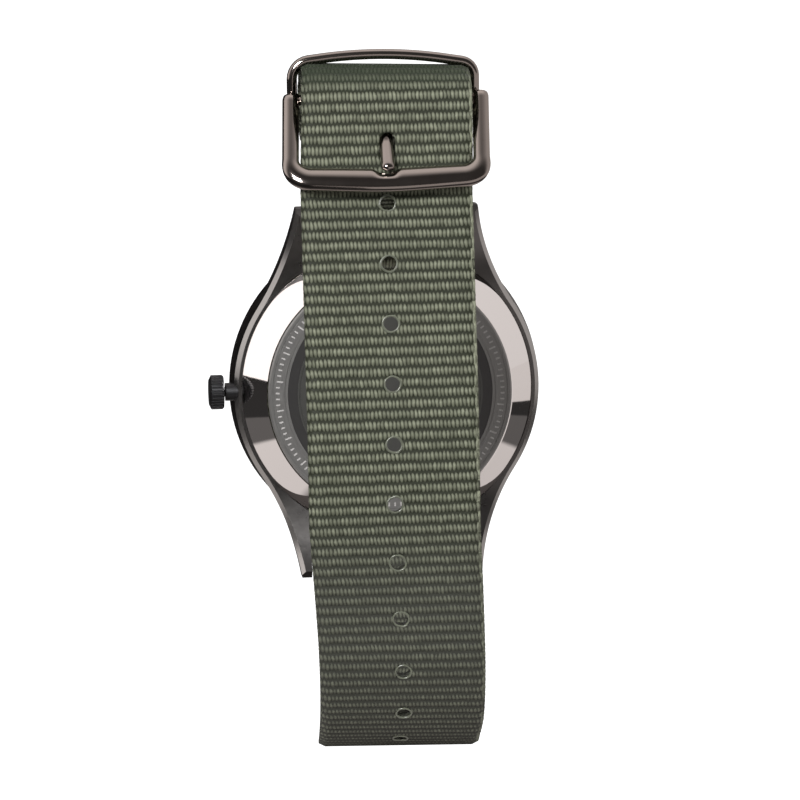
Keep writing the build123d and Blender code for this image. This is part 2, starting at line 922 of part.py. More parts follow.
with BuildPart() as minute_wheel:
    gear(
        minute_wheel_teeth,
        cannon_module,
        cannon_level,
        wheel_thickness,
        minute_wheel_turn + 180 + 180 / minute_wheel_teeth,
        minute_place,
    )
    gear(
        minute_pinion_teeth,
        hour_module,
        cannon_level + wheel_thickness / 2,
        hour_wheel_level + wheel_thickness - cannon_level - wheel_thickness / 2,
        minute_wheel_turn + 180,
        minute_place,
    )
    disc(
        cannon_level,
        hour_wheel_level + wheel_thickness,
        minute_post_radius + running_gap,
        minute_place,
        mode=Mode.SUBTRACT,
    )
save(minute_wheel.part, "minute_wheel")

with BuildPart() as hour_wheel:
    disc(hour_wheel_level, hour_tube_top, hour_tube_radius)
    gear(
        hour_teeth,
        hour_module,
        hour_wheel_level,
        wheel_thickness,
        minute_wheel_turn + 180 / hour_teeth,
    )
    disc(hour_wheel_level, hour_tube_top, cannon_radius + running_gap, mode=Mode.SUBTRACT)
save(hour_wheel.part, "hour_wheel")


# A hand of the dial: a waisted blade from a hub, pointing at an angle clockwise from twelve
def hand(foot, length, width, hub, bore, clockwise, tail=0):
    neck = width * hand_neck_share
    shoulder = length * hand_shoulder_share
    with BuildSketch(level(foot)) as blade:
        with BuildLine():
            Polyline(
                (-neck / 2, -tail),
                (neck / 2, -tail),
                (neck / 2, hub),
                (width / 2, shoulder),
                (0, length),
                (-width / 2, shoulder),
                (-neck / 2, hub),
                close=True,
            )
        make_face()
        Circle(hub)
        Circle(bore, mode=Mode.SUBTRACT)
    extrude(blade.sketch.rotate(Axis.Y, -clockwise), amount=hand_thickness)


minutes_now = rest_minutes + rest_seconds / 60
hour_angle = (rest_hours + minutes_now / 60) * 30
minute_angle = minutes_now * 6
second_angle = rest_seconds * 6

with BuildPart() as hour_hand:
    hour_bore = hour_tube_radius + seat_gap / 2
    hand(
        hour_hand_level,
        hour_hand_length,
        hour_hand_width,
        hour_tube_radius + hand_hub_wall,
        hour_bore,
        hour_angle,
    )
save(hour_hand.part, "hour_hand")

with BuildPart() as minute_hand:
    minute_bore = cannon_radius + seat_gap / 2
    hand(
        minute_hand_level,
        minute_hand_length,
        minute_hand_width,
        cannon_radius + hand_hub_wall,
        minute_bore,
        minute_angle,
    )
save(minute_hand.part, "minute_hand")

with BuildPart() as second_hand:
    second_bore = seconds_arbor_radius + seat_gap / 2
    hand(
        second_hand_level,
        second_hand_length,
        second_hand_width,
        second_hub_radius,
        second_bore,
        second_angle,
        second_hand_tail,
    )
save(second_hand.part, "second_hand")

# Stem, clutch and setting lever
crown_start = case_radius + crown_case_gap
crown_tube_start = case_radius - crown_tube_depth
crown_tube_end = case_radius + crown_tube_stand
hub_end = crown_start - crown_hub_length
with BuildPart() as stem:
    with BuildSketch(stem_plane(stem_inner_end)) as square:
        Rectangle(stem_square, stem_square)
    extrude(square.sketch, amount=stem_square_end - stem_inner_end)
    rod(stem_square_end, hub_end, stem_radius)
    lever_groove_end = lever_groove_start + lever_groove_width
    rod(lever_groove_start, lever_groove_end, stem_radius, lever_groove_radius, Mode.SUBTRACT)
save(stem.part, "stem")

with BuildPart() as clutch_pinion:
    rod(clutch_start, clutch_start + clutch_length, clutch_radius)
    with BuildSketch(stem_plane(clutch_start)) as clutch_cuts:
        with PolarLocations(clutch_radius, clutch_teeth):
            Circle(clutch_radius * pi / clutch_teeth / 2)
        Rectangle(stem_square + 2 * running_gap, stem_square + 2 * running_gap)
    extrude(clutch_cuts.sketch, amount=clutch_length, mode=Mode.SUBTRACT)
save(clutch_pinion.part, "clutch_pinion")

lever_pin_place = (lever_place[0], 0)
lever_top = lever_foot + lever_thickness
lever_pin_top = stem_height - lever_groove_radius - running_gap
with BuildPart() as setting_lever:
    with BuildSketch(level(lever_foot)) as lever:
        with Locations(Location((lever_place[0], -lever_arm / 2, 0), 90)):
            SlotCenterToCenter(lever_arm, lever_width)
    extrude(lever.sketch, amount=lever_thickness)
    disc(lever_top, plate_top - running_gap, lever_post_radius, lever_place)
    disc(lever_top, lever_pin_top, lever_pin_radius, lever_pin_place)
save(setting_lever.part, "setting_lever")

# Crown tube, crown and its gasket
with BuildPart() as crown_tube:
    rod(crown_tube_start, crown_tube_end, crown_tube_radius, crown_tube_bore)
save(crown_tube.part, "crown_tube")

gasket_end = crown_start - crown_gasket_from_cap
gasket_start = gasket_end - crown_gasket_width
gasket_inner = crown_hub_radius - crown_gasket_wall
with BuildPart() as crown:
    rod(crown_start, crown_start + crown_length, crown_radius)
    chamfer(crown.edges().filter_by(GeomType.CIRCLE).group_by(Axis.X)[0], crown_dome, crown_dome * 2)
    chamfer(crown.edges().filter_by(GeomType.CIRCLE).group_by(Axis.X)[-1], crown_bevel)
    with BuildSketch(stem_plane(crown_start)) as flutes:
        with PolarLocations(crown_radius, crown_flutes):
            Circle(crown_flute_radius)
    extrude(flutes.sketch, amount=crown_length, mode=Mode.SUBTRACT)
    rod(hub_end, crown_start, crown_hub_radius)
    rod(gasket_start, gasket_end, crown_hub_radius, gasket_inner, Mode.SUBTRACT)
save(crown.part, "crown")

with BuildPart() as crown_gasket:
    rod(
        gasket_start + seat_gap,
        gasket_end - seat_gap,
        crown_tube_bore - seat_gap,
        gasket_inner + seat_gap,
    )
save(crown_gasket.part, "crown_gasket")

# Spring bars: a tube, a spring and two tips for each pair of lugs
for side, reach in (("upper", bar_reach), ("lower", -bar_reach)):
    with BuildPart() as bar_tube:
        with BuildSketch(Plane.YZ) as tube_face:
            with Locations((bar_height, reach)):
                Circle(bar_radius)
                Circle(bar_bore, mode=Mode.SUBTRACT)
        extrude(tube_face.sketch, amount=bar_half_length, both=True)
    save(bar_tube.part, f"{side}_bar_tube")

    spring_radius = tip_shoulder_radius
    with BuildPart() as bar_spring:
        with BuildSketch(Plane.YZ) as spring_face:
            with Locations((bar_height, reach)):
                Circle(spring_radius)
                Circle(spring_radius - spring_wall, mode=Mode.SUBTRACT)
        extrude(spring_face.sketch, amount=tip_tail_start, both=True)
    save(bar_spring.part, f"{side}_bar_spring")

    for hand_side, direction in (("crown", -1), ("far", 1)):
        with BuildPart() as bar_tip:
            with BuildSketch(Plane.YZ.offset(direction * tip_tail_start)) as shoulder_face:
                with Locations((bar_height, reach)):
                    Circle(tip_shoulder_radius)
            extrude(shoulder_face.sketch, amount=direction * (tip_shoulder_end - tip_tail_start))
            with BuildSketch(Plane.YZ.offset(direction * tip_shoulder_end)) as pivot_face:
                with Locations((bar_height, reach)):
                    Circle(tip_pivot_radius)
            extrude(pivot_face.sketch, amount=direction * (tip_pivot_end - tip_shoulder_end))
        save(bar_tip.part, f"{side}_bar_tip_{hand_side}")

# The strap's plane: across is away from the camera's side, up is towards the buckle
lean = radians(loop_lean)
loop_plane = Plane(
    origin=(0, -near_reach, near_rise),
    x_dir=(0, cos(lean), -sin(lean)),
    z_dir=(1, 0, 0),
)


# A point of the head's side view, in the strap's plane
def in_loop(height, reach):
    local = loop_plane.to_local_coords(Vector(0, height, reach))
    return Vector(local.X, local.Y)


# The straight run from one circle to the next, both lying to the right of it
def run_between(first, first_radius, second, second_radius):
    span = second - first
    swing = degrees(acos((first_radius - second_radius) / span.length))
    normal = span.normalized().rotate(Axis.Z, swing)
    return first + normal * first_radius, second + normal * second_radius


# The clockwise arc about a centre from one point to another, inside the current line
def bend(centre, start, finish):
    first = degrees(atan2(start.Y - centre.Y, start.X - centre.X))
    last = degrees(atan2(finish.Y - centre.Y, finish.X - centre.X))
    return CenterArc(centre, (start - centre).length, first, -((first - last) % 360))


# The plan of both straps: square to the lugs, then leaning to the crown side, then square again
half_width = strap_width / 2
plan_height = near_reach * 2
with BuildSketch(Plane.XY.offset(-plan_height)) as strap_plan:
    with BuildLine():
        Polyline(
            (half_width, shift_start * 2),
            (half_width, -shift_start),
            (half_width - near_shift, -shift_end),
            (half_width - near_shift, -near_reach * 2),
            (-half_width - near_shift, -near_reach * 2),
            (-half_width - near_shift, -shift_end),
            (-half_width, -shift_start),
            (-half_width, shift_start * 2),
            close=True,
        )
    make_face()

# Circles that the strap bends round, in its plane
wrap_radius = bar_radius + bar_slack + webbing / 2
lower_bar = in_loop(bar_height, -bar_reach)
upper_bar = in_loop(bar_height, bar_reach)
near_line = webbing / 2
sewn_offset = webbing * sewn_share
top_centre = Vector(top_bend, top_height)
outer_bend = top_bend - near_line
inner_bend = outer_bend - webbing - layer_gap
belly_centre = Vector(near_line + belly_radius, 0)
sag_radius = (lower_bar.X - near_line) * sag_share
sag_centre = belly_centre - Vector(cos(radians(belly_turn)), sin(radians(belly_turn))) * (
    belly_radius - sag_radius
)

# Hole side: sewn fold at the lower lugs, sag, belly with the holes, top bend and free tip
lower_run = run_between(lower_bar, wrap_radius, sag_centre, sag_radius)
lower_way = (lower_run[1] - lower_run[0]).normalized()
lower_normal = (lower_run[0] - lower_bar).normalized()
lower_pinch = lower_bar + lower_normal * (wrap_radius - sewn_offset) + lower_way * pinch_run
lower_fold = run_between(lower_pinch, 0, lower_bar, wrap_radius)
upper_run = run_between(top_centre, inner_bend, upper_bar, wrap_radius)
upper_way = (upper_run[1] - upper_run[0]).normalized()
upper_normal = (upper_run[0] - top_centre).normalized()
sag_end = sag_centre + (sag_centre - belly_centre).normalized() * sag_radius
tip_start = top_centre + upper_normal * outer_bend

with BuildPart() as strap_hole_side:
    with BuildSketch(loop_plane) as hole_side_profile:
        with BuildLine() as hole_side_tail:
            Polyline(lower_pinch + lower_way * tail_run, lower_pinch, lower_fold[1])
        trace(hole_side_tail.line, line_width=webbing)
        with BuildLine() as hole_side_route:
            bend(lower_bar, lower_fold[1], lower_run[0])
            Line(lower_run[0], lower_run[1])
            bend(sag_centre, lower_run[1], sag_end)
            bend(belly_centre, sag_end, Vector(near_line, 0))
            Line((near_line, 0), (near_line, top_height))
            bend(top_centre, Vector(near_line, top_height), tip_start)
            Line(tip_start, tip_start + upper_way * tip_run)
        trace(hole_side_route.line, line_width=webbing)
    extrude(hole_side_profile.sketch, amount=strap_width, both=True)
    extrude(strap_plan.sketch, amount=plan_height * 2, mode=Mode.INTERSECT)
    # Holes stand square to the webbing, one pitch apart along its middle line
    belly_start = top_height - tongue_hole_drop
    belly_arc = belly_radius * radians(belly_turn)
    for number in range(1, hole_count):
        run = number * hole_pitch - belly_start
        if run <= 0:
            place = Vector(near_line, -run)
            outward = Vector(-1, 0)
        elif run <= belly_arc:
            swing = run / belly_radius
            outward = Vector(-cos(swing), -sin(swing))
            place = belly_centre + outward * belly_radius
        else:
            swing = radians(belly_turn) + (run - belly_arc) / sag_radius
            outward = Vector(-cos(swing), -sin(swing))
            place = sag_centre + outward * sag_radius
        centre = loop_plane.from_local_coords(place) - Vector(near_shift, 0, 0)
        axis = loop_plane.from_local_coords(outward) - loop_plane.origin
        with BuildSketch(Plane(origin=centre, z_dir=axis)) as hole:
            Circle(hole_radius)
        extrude(hole.sketch, amount=webbing, both=True, mode=Mode.SUBTRACT)
    # The free end is cut to a blunt point
    tip_end = loop_plane.from_local_coords(tip_start + upper_way * tip_run) - Vector(near_shift, 0, 0)
    along = loop_plane.from_local_coords(upper_way) - loop_plane.origin
    with BuildSketch(Plane(origin=tip_end, x_dir=(1, 0, 0), z_dir=along.cross(Vector(1, 0, 0)))) as point:
        with BuildLine():
            Polyline(
                (half_width + webbing, webbing),
                (half_width + webbing, -tip_bevel),
                (half_width, -tip_bevel),
                (half_width * point_share, 0),
                (half_width * point_share, webbing),
                close=True,
            )
        make_face()
        mirror(about=Plane.YZ)
    extrude(point.sketch, amount=2 * webbing, both=True, mode=Mode.SUBTRACT)

# Buckle side: fold round the buckle pin, top bend, straight run and fold round the upper spring bar
pin_wrap = pin_radius + bar_slack + webbing / 2
pin_reach = inner_bend - pin_wrap
pin_out = Vector(-cos(radians(pin_angle)), sin(radians(pin_angle)))
pin_centre = top_centre + pin_out * pin_reach
pin_leave = top_centre + pin_out * inner_bend
buckle_pinch = top_centre + upper_normal * (inner_bend - sewn_offset) + upper_way * buckle_pinch_run
buckle_fold = run_between(buckle_pinch, 0, pin_centre, pin_wrap)
upper_pinch = upper_bar + upper_normal * (wrap_radius - sewn_offset) - upper_way * pinch_run
upper_fold = run_between(upper_bar, wrap_radius, upper_pinch, 0)

with BuildPart() as strap_buckle_side:
    with BuildSketch(loop_plane) as buckle_side_profile:
        with BuildLine() as buckle_side_tail:
            Polyline(buckle_pinch + upper_way * buckle_tail_run, buckle_pinch, buckle_fold[1])
        trace(buckle_side_tail.line, line_width=webbing)
        with BuildLine() as buckle_side_end:
            Polyline(upper_pinch - upper_way * tail_run, upper_pinch, upper_fold[0])
        trace(buckle_side_end.line, line_width=webbing)
        with BuildLine() as buckle_side_route:
            bend(pin_centre, buckle_fold[1], pin_leave)
            bend(top_centre, pin_leave, upper_run[0])
            Line(upper_run[0], upper_run[1])
            bend(upper_bar, upper_run[1], upper_fold[0])
        trace(buckle_side_route.line, line_width=webbing)
    extrude(buckle_side_profile.sketch, amount=strap_width, both=True)
    extrude(strap_plan.sketch, amount=plan_height * 2, mode=Mode.INTERSECT)
    with BuildSketch(loop_plane.offset(-near_shift)) as fold_slot:
        with Locations(pin_centre):
            Circle(pin_wrap + webbing / 2 + layer_gap)
    extrude(fold_slot.sketch, amount=fold_slot_width / 2, both=True, mode=Mode.SUBTRACT)
save(strap_buckle_side.part, "strap_buckle_side")

# Buckle: its plane runs from the pin to the outer bar, tilted off the strap
frame_along = Vector(0, -1).rotate(Axis.Z, -frame_tilt)
frame_out = Vector(-1, 0).rotate(Axis.Z, -frame_tilt)
pin_origin = loop_plane.from_local_coords(pin_centre) - Vector(near_shift, 0, 0)
frame_plane = Plane(
    origin=pin_origin,
    x_dir=(1, 0, 0),
    z_dir=loop_plane.from_local_coords(frame_out) - loop_plane.origin,
)
frame_far = frame_pitch + frame_bar_width / 2
frame_near = frame_pitch - frame_bar_width / 2
opening_half = half_width + frame_side_gap
frame_half = opening_half + frame_arm_width

with BuildPart() as buckle_frame:
    with BuildSketch(frame_plane) as frame_face:
        with BuildLine():
            left = Line((-frame_half, 0), (-frame_half, -frame_far))
            bow = ThreePointArc(left @ 1, (0, -frame_far - frame_bow), (frame_half, -frame_far))
            Polyline(bow @ 1, (frame_half, 0), left @ 0)
        make_face()
        fillet(frame_face.vertices().group_by(Axis.Y)[0], frame_corner)
    extrude(frame_face.sketch, amount=frame_thickness / 2, both=True)
    with BuildSketch(frame_plane) as frame_opening:
        with BuildLine():
            left = Line((-opening_half, overrun), (-opening_half, -frame_near))
            bow = ThreePointArc(left @ 1, (0, -frame_near - frame_bow / 2), (opening_half, -frame_near))
            Polyline(bow @ 1, (opening_half, overrun), left @ 0)
        make_face()
        fillet(frame_opening.vertices().group_by(Axis.Y)[0], frame_inner_corner)
    extrude(frame_opening.sketch, amount=frame_thickness, both=True, mode=Mode.SUBTRACT)
    face_edges = buckle_frame.edges().filter_by(
        lambda edge: abs(frame_plane.to_local_coords(edge.center()).Z) > frame_thickness / 4
        and frame_plane.to_local_coords(edge.center()).Y < -frame_eye_radius
    )
    fillet(face_edges, frame_rounding)
    for side in (-1, 1):
        eye_plane = Plane(origin=pin_origin + Vector(side * opening_half, 0, 0), z_dir=(side, 0, 0))
        with BuildSketch(eye_plane) as eye:
            Circle(frame_eye_radius)
        extrude(eye.sketch, amount=frame_half - opening_half)
    with BuildSketch(Plane(origin=pin_origin, z_dir=(1, 0, 0))) as pin_way:
        Circle(pin_radius)
    extrude(pin_way.sketch, amount=frame_half + overrun, both=True, mode=Mode.SUBTRACT)
    with BuildSketch(frame_plane.offset(frame_thickness / 2 - notch_depth)) as notch:
        with Locations((0, -frame_near)):
            Rectangle(notch_width, 2 * notch_length)
        fillet(notch.vertices().group_by(Axis.Y)[0], notch_width * notch_round_share)
    extrude(notch.sketch, amount=notch_depth + frame_thickness, mode=Mode.SUBTRACT)
save(buckle_frame.part, "buckle_frame")

with BuildPart() as buckle_pin:
    with BuildSketch(Plane(origin=pin_origin, z_dir=(1, 0, 0))) as pin_face:
        Circle(pin_radius)
    extrude(pin_face.sketch, amount=frame_half + pin_overhang, both=True)
    chamfer(buckle_pin.edges(), pin_overhang)
save(buckle_pin.part, "buckle_pin")

# Tongue: an eye on the pin and an arched bar, through the last hole and down into the frame's notch
tongue_hole = Vector(near_line, top_height - tongue_hole_drop)
tongue_tip = pin_centre + frame_along * tongue_reach + frame_out * tongue_rise
tongue_eye_bore = pin_radius + running_gap
tongue_plane = loop_plane.offset(-near_shift)

with BuildPart() as buckle_tongue:
    with BuildSketch(tongue_plane) as tongue_side:
        with BuildLine() as tongue_route:
            Polyline(pin_centre, tongue_hole, tongue_tip)
        trace(tongue_route.line, line_width=tongue_thickness)
        with Locations(pin_centre):
            Circle(tongue_eye_bore + tongue_eye_wall)
            Circle(tongue_eye_bore, mode=Mode.SUBTRACT)
    extrude(tongue_side.sketch, amount=tongue_width / 2, both=True)
    tip_origin = loop_plane.from_local_coords(tongue_tip)
    tip_edges = buckle_tongue.edges().filter_by(Axis.X).sort_by_distance(tip_origin)[0:2]
    fillet(tip_edges, tongue_thickness * tongue_round_share)
save(buckle_tongue.part, "buckle_tongue")

# The last hole of the strap is drawn out by the tongue, with room for the tongue to lift
lifted_hole = pin_centre + (tongue_hole - pin_centre).rotate(Axis.Z, -tongue_lift)
lifted_tip = pin_centre + (tongue_tip - pin_centre).rotate(Axis.Z, -tongue_lift)
with BuildPart(mode=Mode.PRIVATE) as tongue_way:
    with BuildSketch(tongue_plane) as way_side:
        with BuildLine() as way_rest:
            Polyline(pin_centre, tongue_hole, tongue_tip)
        trace(way_rest.line, line_width=tongue_thickness + 2 * tongue_side_gap)
        with BuildLine() as way_lifted:
            Polyline(pin_centre, lifted_hole, lifted_tip)
        trace(way_lifted.line, line_width=tongue_thickness + 2 * tongue_side_gap)
    extrude(way_side.sketch, amount=tongue_width / 2 + tongue_side_gap, both=True)
with strap_hole_side:
    add(tongue_way.part, mode=Mode.SUBTRACT)
save(strap_hole_side.part, "strap_hole_side")

# Keeper ring: a closed wire across the strap, its inner side held in the fold beside the pin
keeper_out = Vector(-cos(radians(keeper_turn)), sin(radians(keeper_turn)))
keeper_origin = loop_plane.from_local_coords(top_centre) - Vector(near_shift, 0, 0)
keeper_radial = loop_plane.from_local_coords(keeper_out) - loop_plane.origin
keeper_plane = Plane(
    origin=keeper_origin,
    x_dir=(1, 0, 0),
    z_dir=Vector(1, 0, 0).cross(keeper_radial),
)
keeper_half = half_width + keeper_side_gap + keeper_wire / 2
with BuildPart() as keeper_ring:
    with BuildSketch(keeper_plane) as keeper_path:
        with BuildLine():
            low = Line((-keeper_half, keeper_inner_reach), (keeper_half, keeper_inner_reach))
            right = Line(low @ 1, (keeper_half, keeper_outer_reach - keeper_bow))
            arch = ThreePointArc(
                right @ 1, (0, keeper_outer_reach), (-keeper_half, keeper_outer_reach - keeper_bow)
            )
            Line(arch @ 1, low @ 0)
        make_face()
        fillet(keeper_path.vertices(), keeper_corner)
    keeper_route = keeper_path.sketch.faces()[0].outer_wire()
    with BuildSketch(Plane(origin=keeper_route @ 0, z_dir=keeper_route % 0)) as keeper_section:
        Circle(keeper_wire / 2)
    sweep(keeper_section.sketch, path=keeper_route)
save(keeper_ring.part, "keeper_ring")
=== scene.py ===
import bpy
import bmesh
import json
import math
from mathutils import Matrix, Vector, noise


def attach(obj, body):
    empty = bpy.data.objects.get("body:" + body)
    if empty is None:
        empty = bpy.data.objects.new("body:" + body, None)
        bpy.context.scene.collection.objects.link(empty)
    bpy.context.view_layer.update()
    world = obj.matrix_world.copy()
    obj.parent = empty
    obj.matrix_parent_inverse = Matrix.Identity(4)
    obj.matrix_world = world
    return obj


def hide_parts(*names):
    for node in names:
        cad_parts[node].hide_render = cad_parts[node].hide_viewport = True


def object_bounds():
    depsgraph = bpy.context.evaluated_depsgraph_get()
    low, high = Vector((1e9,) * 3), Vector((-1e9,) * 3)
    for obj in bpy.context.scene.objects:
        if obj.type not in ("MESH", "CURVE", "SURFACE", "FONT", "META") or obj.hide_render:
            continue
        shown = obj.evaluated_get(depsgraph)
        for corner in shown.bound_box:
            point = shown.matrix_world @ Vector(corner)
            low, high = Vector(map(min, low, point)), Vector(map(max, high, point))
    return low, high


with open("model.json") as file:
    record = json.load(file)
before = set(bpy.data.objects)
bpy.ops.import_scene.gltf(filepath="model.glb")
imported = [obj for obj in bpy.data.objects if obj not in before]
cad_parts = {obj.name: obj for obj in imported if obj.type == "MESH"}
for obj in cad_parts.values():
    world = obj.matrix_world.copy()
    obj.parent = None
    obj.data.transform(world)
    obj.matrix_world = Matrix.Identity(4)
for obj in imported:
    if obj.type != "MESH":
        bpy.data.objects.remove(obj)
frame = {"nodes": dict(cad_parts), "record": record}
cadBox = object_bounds()
mm = 0.001
fullTurn = 2 * math.pi
weld = 0.001  # corners this close are joined, in millimetres
scene = bpy.context.scene
scene.view_settings.view_transform = "Standard"

# Camera: behind the wrist side, a little above and from the crown's side
view = {
    "place": (-50.76 * mm, -515.66 * mm, 78.56 * mm),
    "forward": (0.0991, 0.9835, -0.1516),
    "roll": -0.85,
    "lens": 185.76, "sensor": 36, "near": 0.01, "far": 20,
}


def placeCamera():
    data = bpy.data.cameras.new("camera")
    data.lens = view["lens"]
    data.sensor_width = view["sensor"]
    data.clip_start = view["near"]
    data.clip_end = view["far"]
    camera = bpy.data.objects.new("camera", data)
    forward = Vector(view["forward"]).normalized()
    side = forward.cross(Vector((0, 0, 1))).normalized()
    up = side.cross(forward)
    roll = math.radians(view["roll"])
    rolledSide = side * math.cos(roll) + up * math.sin(roll)
    rolledUp = up * math.cos(roll) - side * math.sin(roll)
    facing = Matrix((rolledSide, rolledUp, -forward)).transposed().to_4x4()
    camera.matrix_world = Matrix.Translation(view["place"]) @ facing
    scene.collection.objects.link(camera)
    scene.camera = camera


placeCamera()
print("camera placed")


# Small helpers for node trees. A plain value is set on its socket, another node's output is linked to it
def feed(tree, sockets, values):
    for key, value in values.items():
        if isinstance(value, bpy.types.NodeSocket):
            tree.links.new(value, sockets[key])
        elif sockets[key].type == "RGBA":
            sockets[key].default_value = (*value, 1)
        else:
            sockets[key].default_value = value


def addNode(tree, kind, inputs=None, **settings):
    node = tree.nodes.new(kind)
    for key, value in settings.items():
        setattr(node, key, value)
    feed(tree, node.inputs, inputs or {})
    return node


def maths(tree, operation, a, b=0.0, c=0.0, clamp=False):
    terms = {0: a, 1: b, 2: c}
    return addNode(tree, "ShaderNodeMath", terms, operation=operation, use_clamp=clamp).outputs[0]


# Product of two values, plus a third one
def times(tree, a, b, plus=0.0):
    return maths(tree, "MULTIPLY_ADD", a, b, plus)


def vectorMaths(tree, operation, a, b, c=(0, 0, 0)):
    return addNode(tree, "ShaderNodeVectorMath", {0: a, 1: b, 2: c}, operation=operation).outputs[0]


def blendColor(tree, share, first, second):
    return addNode(tree, "ShaderNodeMix", {0: share, 6: first, 7: second}, data_type="RGBA").outputs[2]


def smoothRamp(tree, value, start, finish, before=0.0, after=1.0):
    reach = {"Value": value, "From Min": start, "From Max": finish, "To Min": before, "To Max": after}
    return addNode(tree, "ShaderNodeMapRange", reach, interpolation_type="SMOOTHSTEP").outputs[0]


def speckle(tree, place, scale, detail):
    return addNode(tree, "ShaderNodeTexNoise", {"Vector": place, "Scale": scale, "Detail": detail}).outputs


def bumpFrom(tree, height, strength, depth):
    made = {"Strength": strength, "Distance": depth, "Height": height}
    return addNode(tree, "ShaderNodeBump", made).outputs[0]


def objectPlace(tree):
    return addNode(tree, "ShaderNodeTexCoord").outputs["Object"]


def axesOf(tree, vector):
    return addNode(tree, "ShaderNodeSeparateXYZ", {0: vector}).outputs


# Distance from the line through the dial's middle
def fromAxis(tree, parts):
    across = maths(tree, "POWER", parts["X"], 2.0)
    up = maths(tree, "POWER", parts["Z"], 2.0)
    return maths(tree, "SQRT", maths(tree, "ADD", across, up))


def startGroup(name, inputs, outputs):
    group = bpy.data.node_groups.new(name, "ShaderNodeTree")
    for label, kind, value in inputs:
        socket = group.interface.new_socket(label, in_out="INPUT", socket_type="NodeSocket" + kind)
        socket.default_value = value
    for label, kind in outputs:
        group.interface.new_socket(label, in_out="OUTPUT", socket_type="NodeSocket" + kind)
    return group, group.nodes.new("NodeGroupInput").outputs, group.nodes.new("NodeGroupOutput").inputs


def placeGroup(tree, group, inputs):
    return addNode(tree, "ShaderNodeGroup", inputs, node_tree=group).outputs


def startMaterial(name, **plain):
    material = bpy.data.materials.new(name)
    material.use_nodes = True
    tree = material.node_tree
    shader = tree.nodes["Principled BSDF"]
    feed(tree, shader.inputs, {key.replace("_", " "): value for key, value in plain.items()})
    return material, tree, shader


# Satin: uneven roughness, tone and a fine surface bump, read from Object coordinates in metres
satinForm = {
    "fineDetail": 4.0, "broadDetail": 3.0, "toneSpread": 0.3, "toneLow": 0.85, "depth": 0.02 * mm,
    "broadShare": 0.12,  # scale of the broad patches against the fine grain
}


def makeSatin():
    tree, given, out = startGroup(
        "satin",
        [
            ("Color", "Color", (0.5, 0.5, 0.5, 1)),
            ("Scale", "Float", 900.0),
            ("Roughness", "Float", 0.35),
            ("Spread", "Float", 0.1),
            ("Bump", "Float", 0.1),
            ("Stretch", "Vector", (1, 1, 1)),
        ],
        [("Color", "Color"), ("Roughness", "Float"), ("Normal", "Vector")],
    )
    place = objectPlace(tree)
    stretched = vectorMaths(tree, "MULTIPLY", place, given["Stretch"])
    fine = speckle(tree, stretched, given["Scale"], satinForm["fineDetail"])[0]
    broadScale = times(tree, given["Scale"], satinForm["broadShare"])
    broad = speckle(tree, place, broadScale, satinForm["broadDetail"])[0]
    lowest = maths(tree, "SUBTRACT", given["Roughness"], given["Spread"])
    rough = times(tree, maths(tree, "ADD", fine, broad), given["Spread"], lowest)
    tone = times(tree, broad, satinForm["toneSpread"], satinForm["toneLow"])
    toned = {0: given["Color"], "Scale": tone}
    color = addNode(tree, "ShaderNodeVectorMath", toned, operation="SCALE").outputs[0]
    normal = bumpFrom(tree, fine, given["Bump"], satinForm["depth"])
    feed(tree, out, {"Color": color, "Roughness": rough, "Normal": normal})
    return tree


satin = makeSatin()


def metal(name, color, roughness, spread=0.08, bump=0.15, scale=1500.0, stretch=(1, 1, 1), **plain):
    material, tree, shader = startMaterial(name, **{"Metallic": 1.0, **plain})
    look = {"Color": color, "Scale": scale, "Roughness": roughness, "Spread": spread, "Bump": bump}
    got = placeGroup(tree, satin, {**look, "Stretch": stretch})
    surface = {"Base Color": got["Color"], "Roughness": got["Roughness"], "Normal": got["Normal"]}
    feed(tree, shader.inputs, surface)
    return material


def plastic(name, color, roughness=0.5, bump=0.3, scale=1800.0, spread=0.12, **plain):
    return metal(name, color, roughness, spread, bump, scale, Metallic=0.0, **plain)


# Case: dark coated metal, a painted highlight on its bevels, and the cone round the back polished
casing = {
    "coat": (0.15, 0.143, 0.14),
    # the bevels' bright colour is a painted highlight
    "edge": (0.42, 0.41, 0.4),
    "cone": (0.92, 0.89, 0.88),
    "tint": (0.3, 0.3, 0.3),
    "satin": {"Scale": 2600.0, "Roughness": 0.3, "Spread": 0.1, "Bump": 0.2},
    "coneRadius": 18.62 * mm, "coneTop": 3.99 * mm,
    "conePolish": 0.4,  # taken off the coat's roughness
    "smoothest": 0.045,
    "bevelSlope": -0.707,  # how far a bevel's normal leans to the back, and the spread round it
    "bevelSpread": 0.13, "bevelAside": 0.3,
}


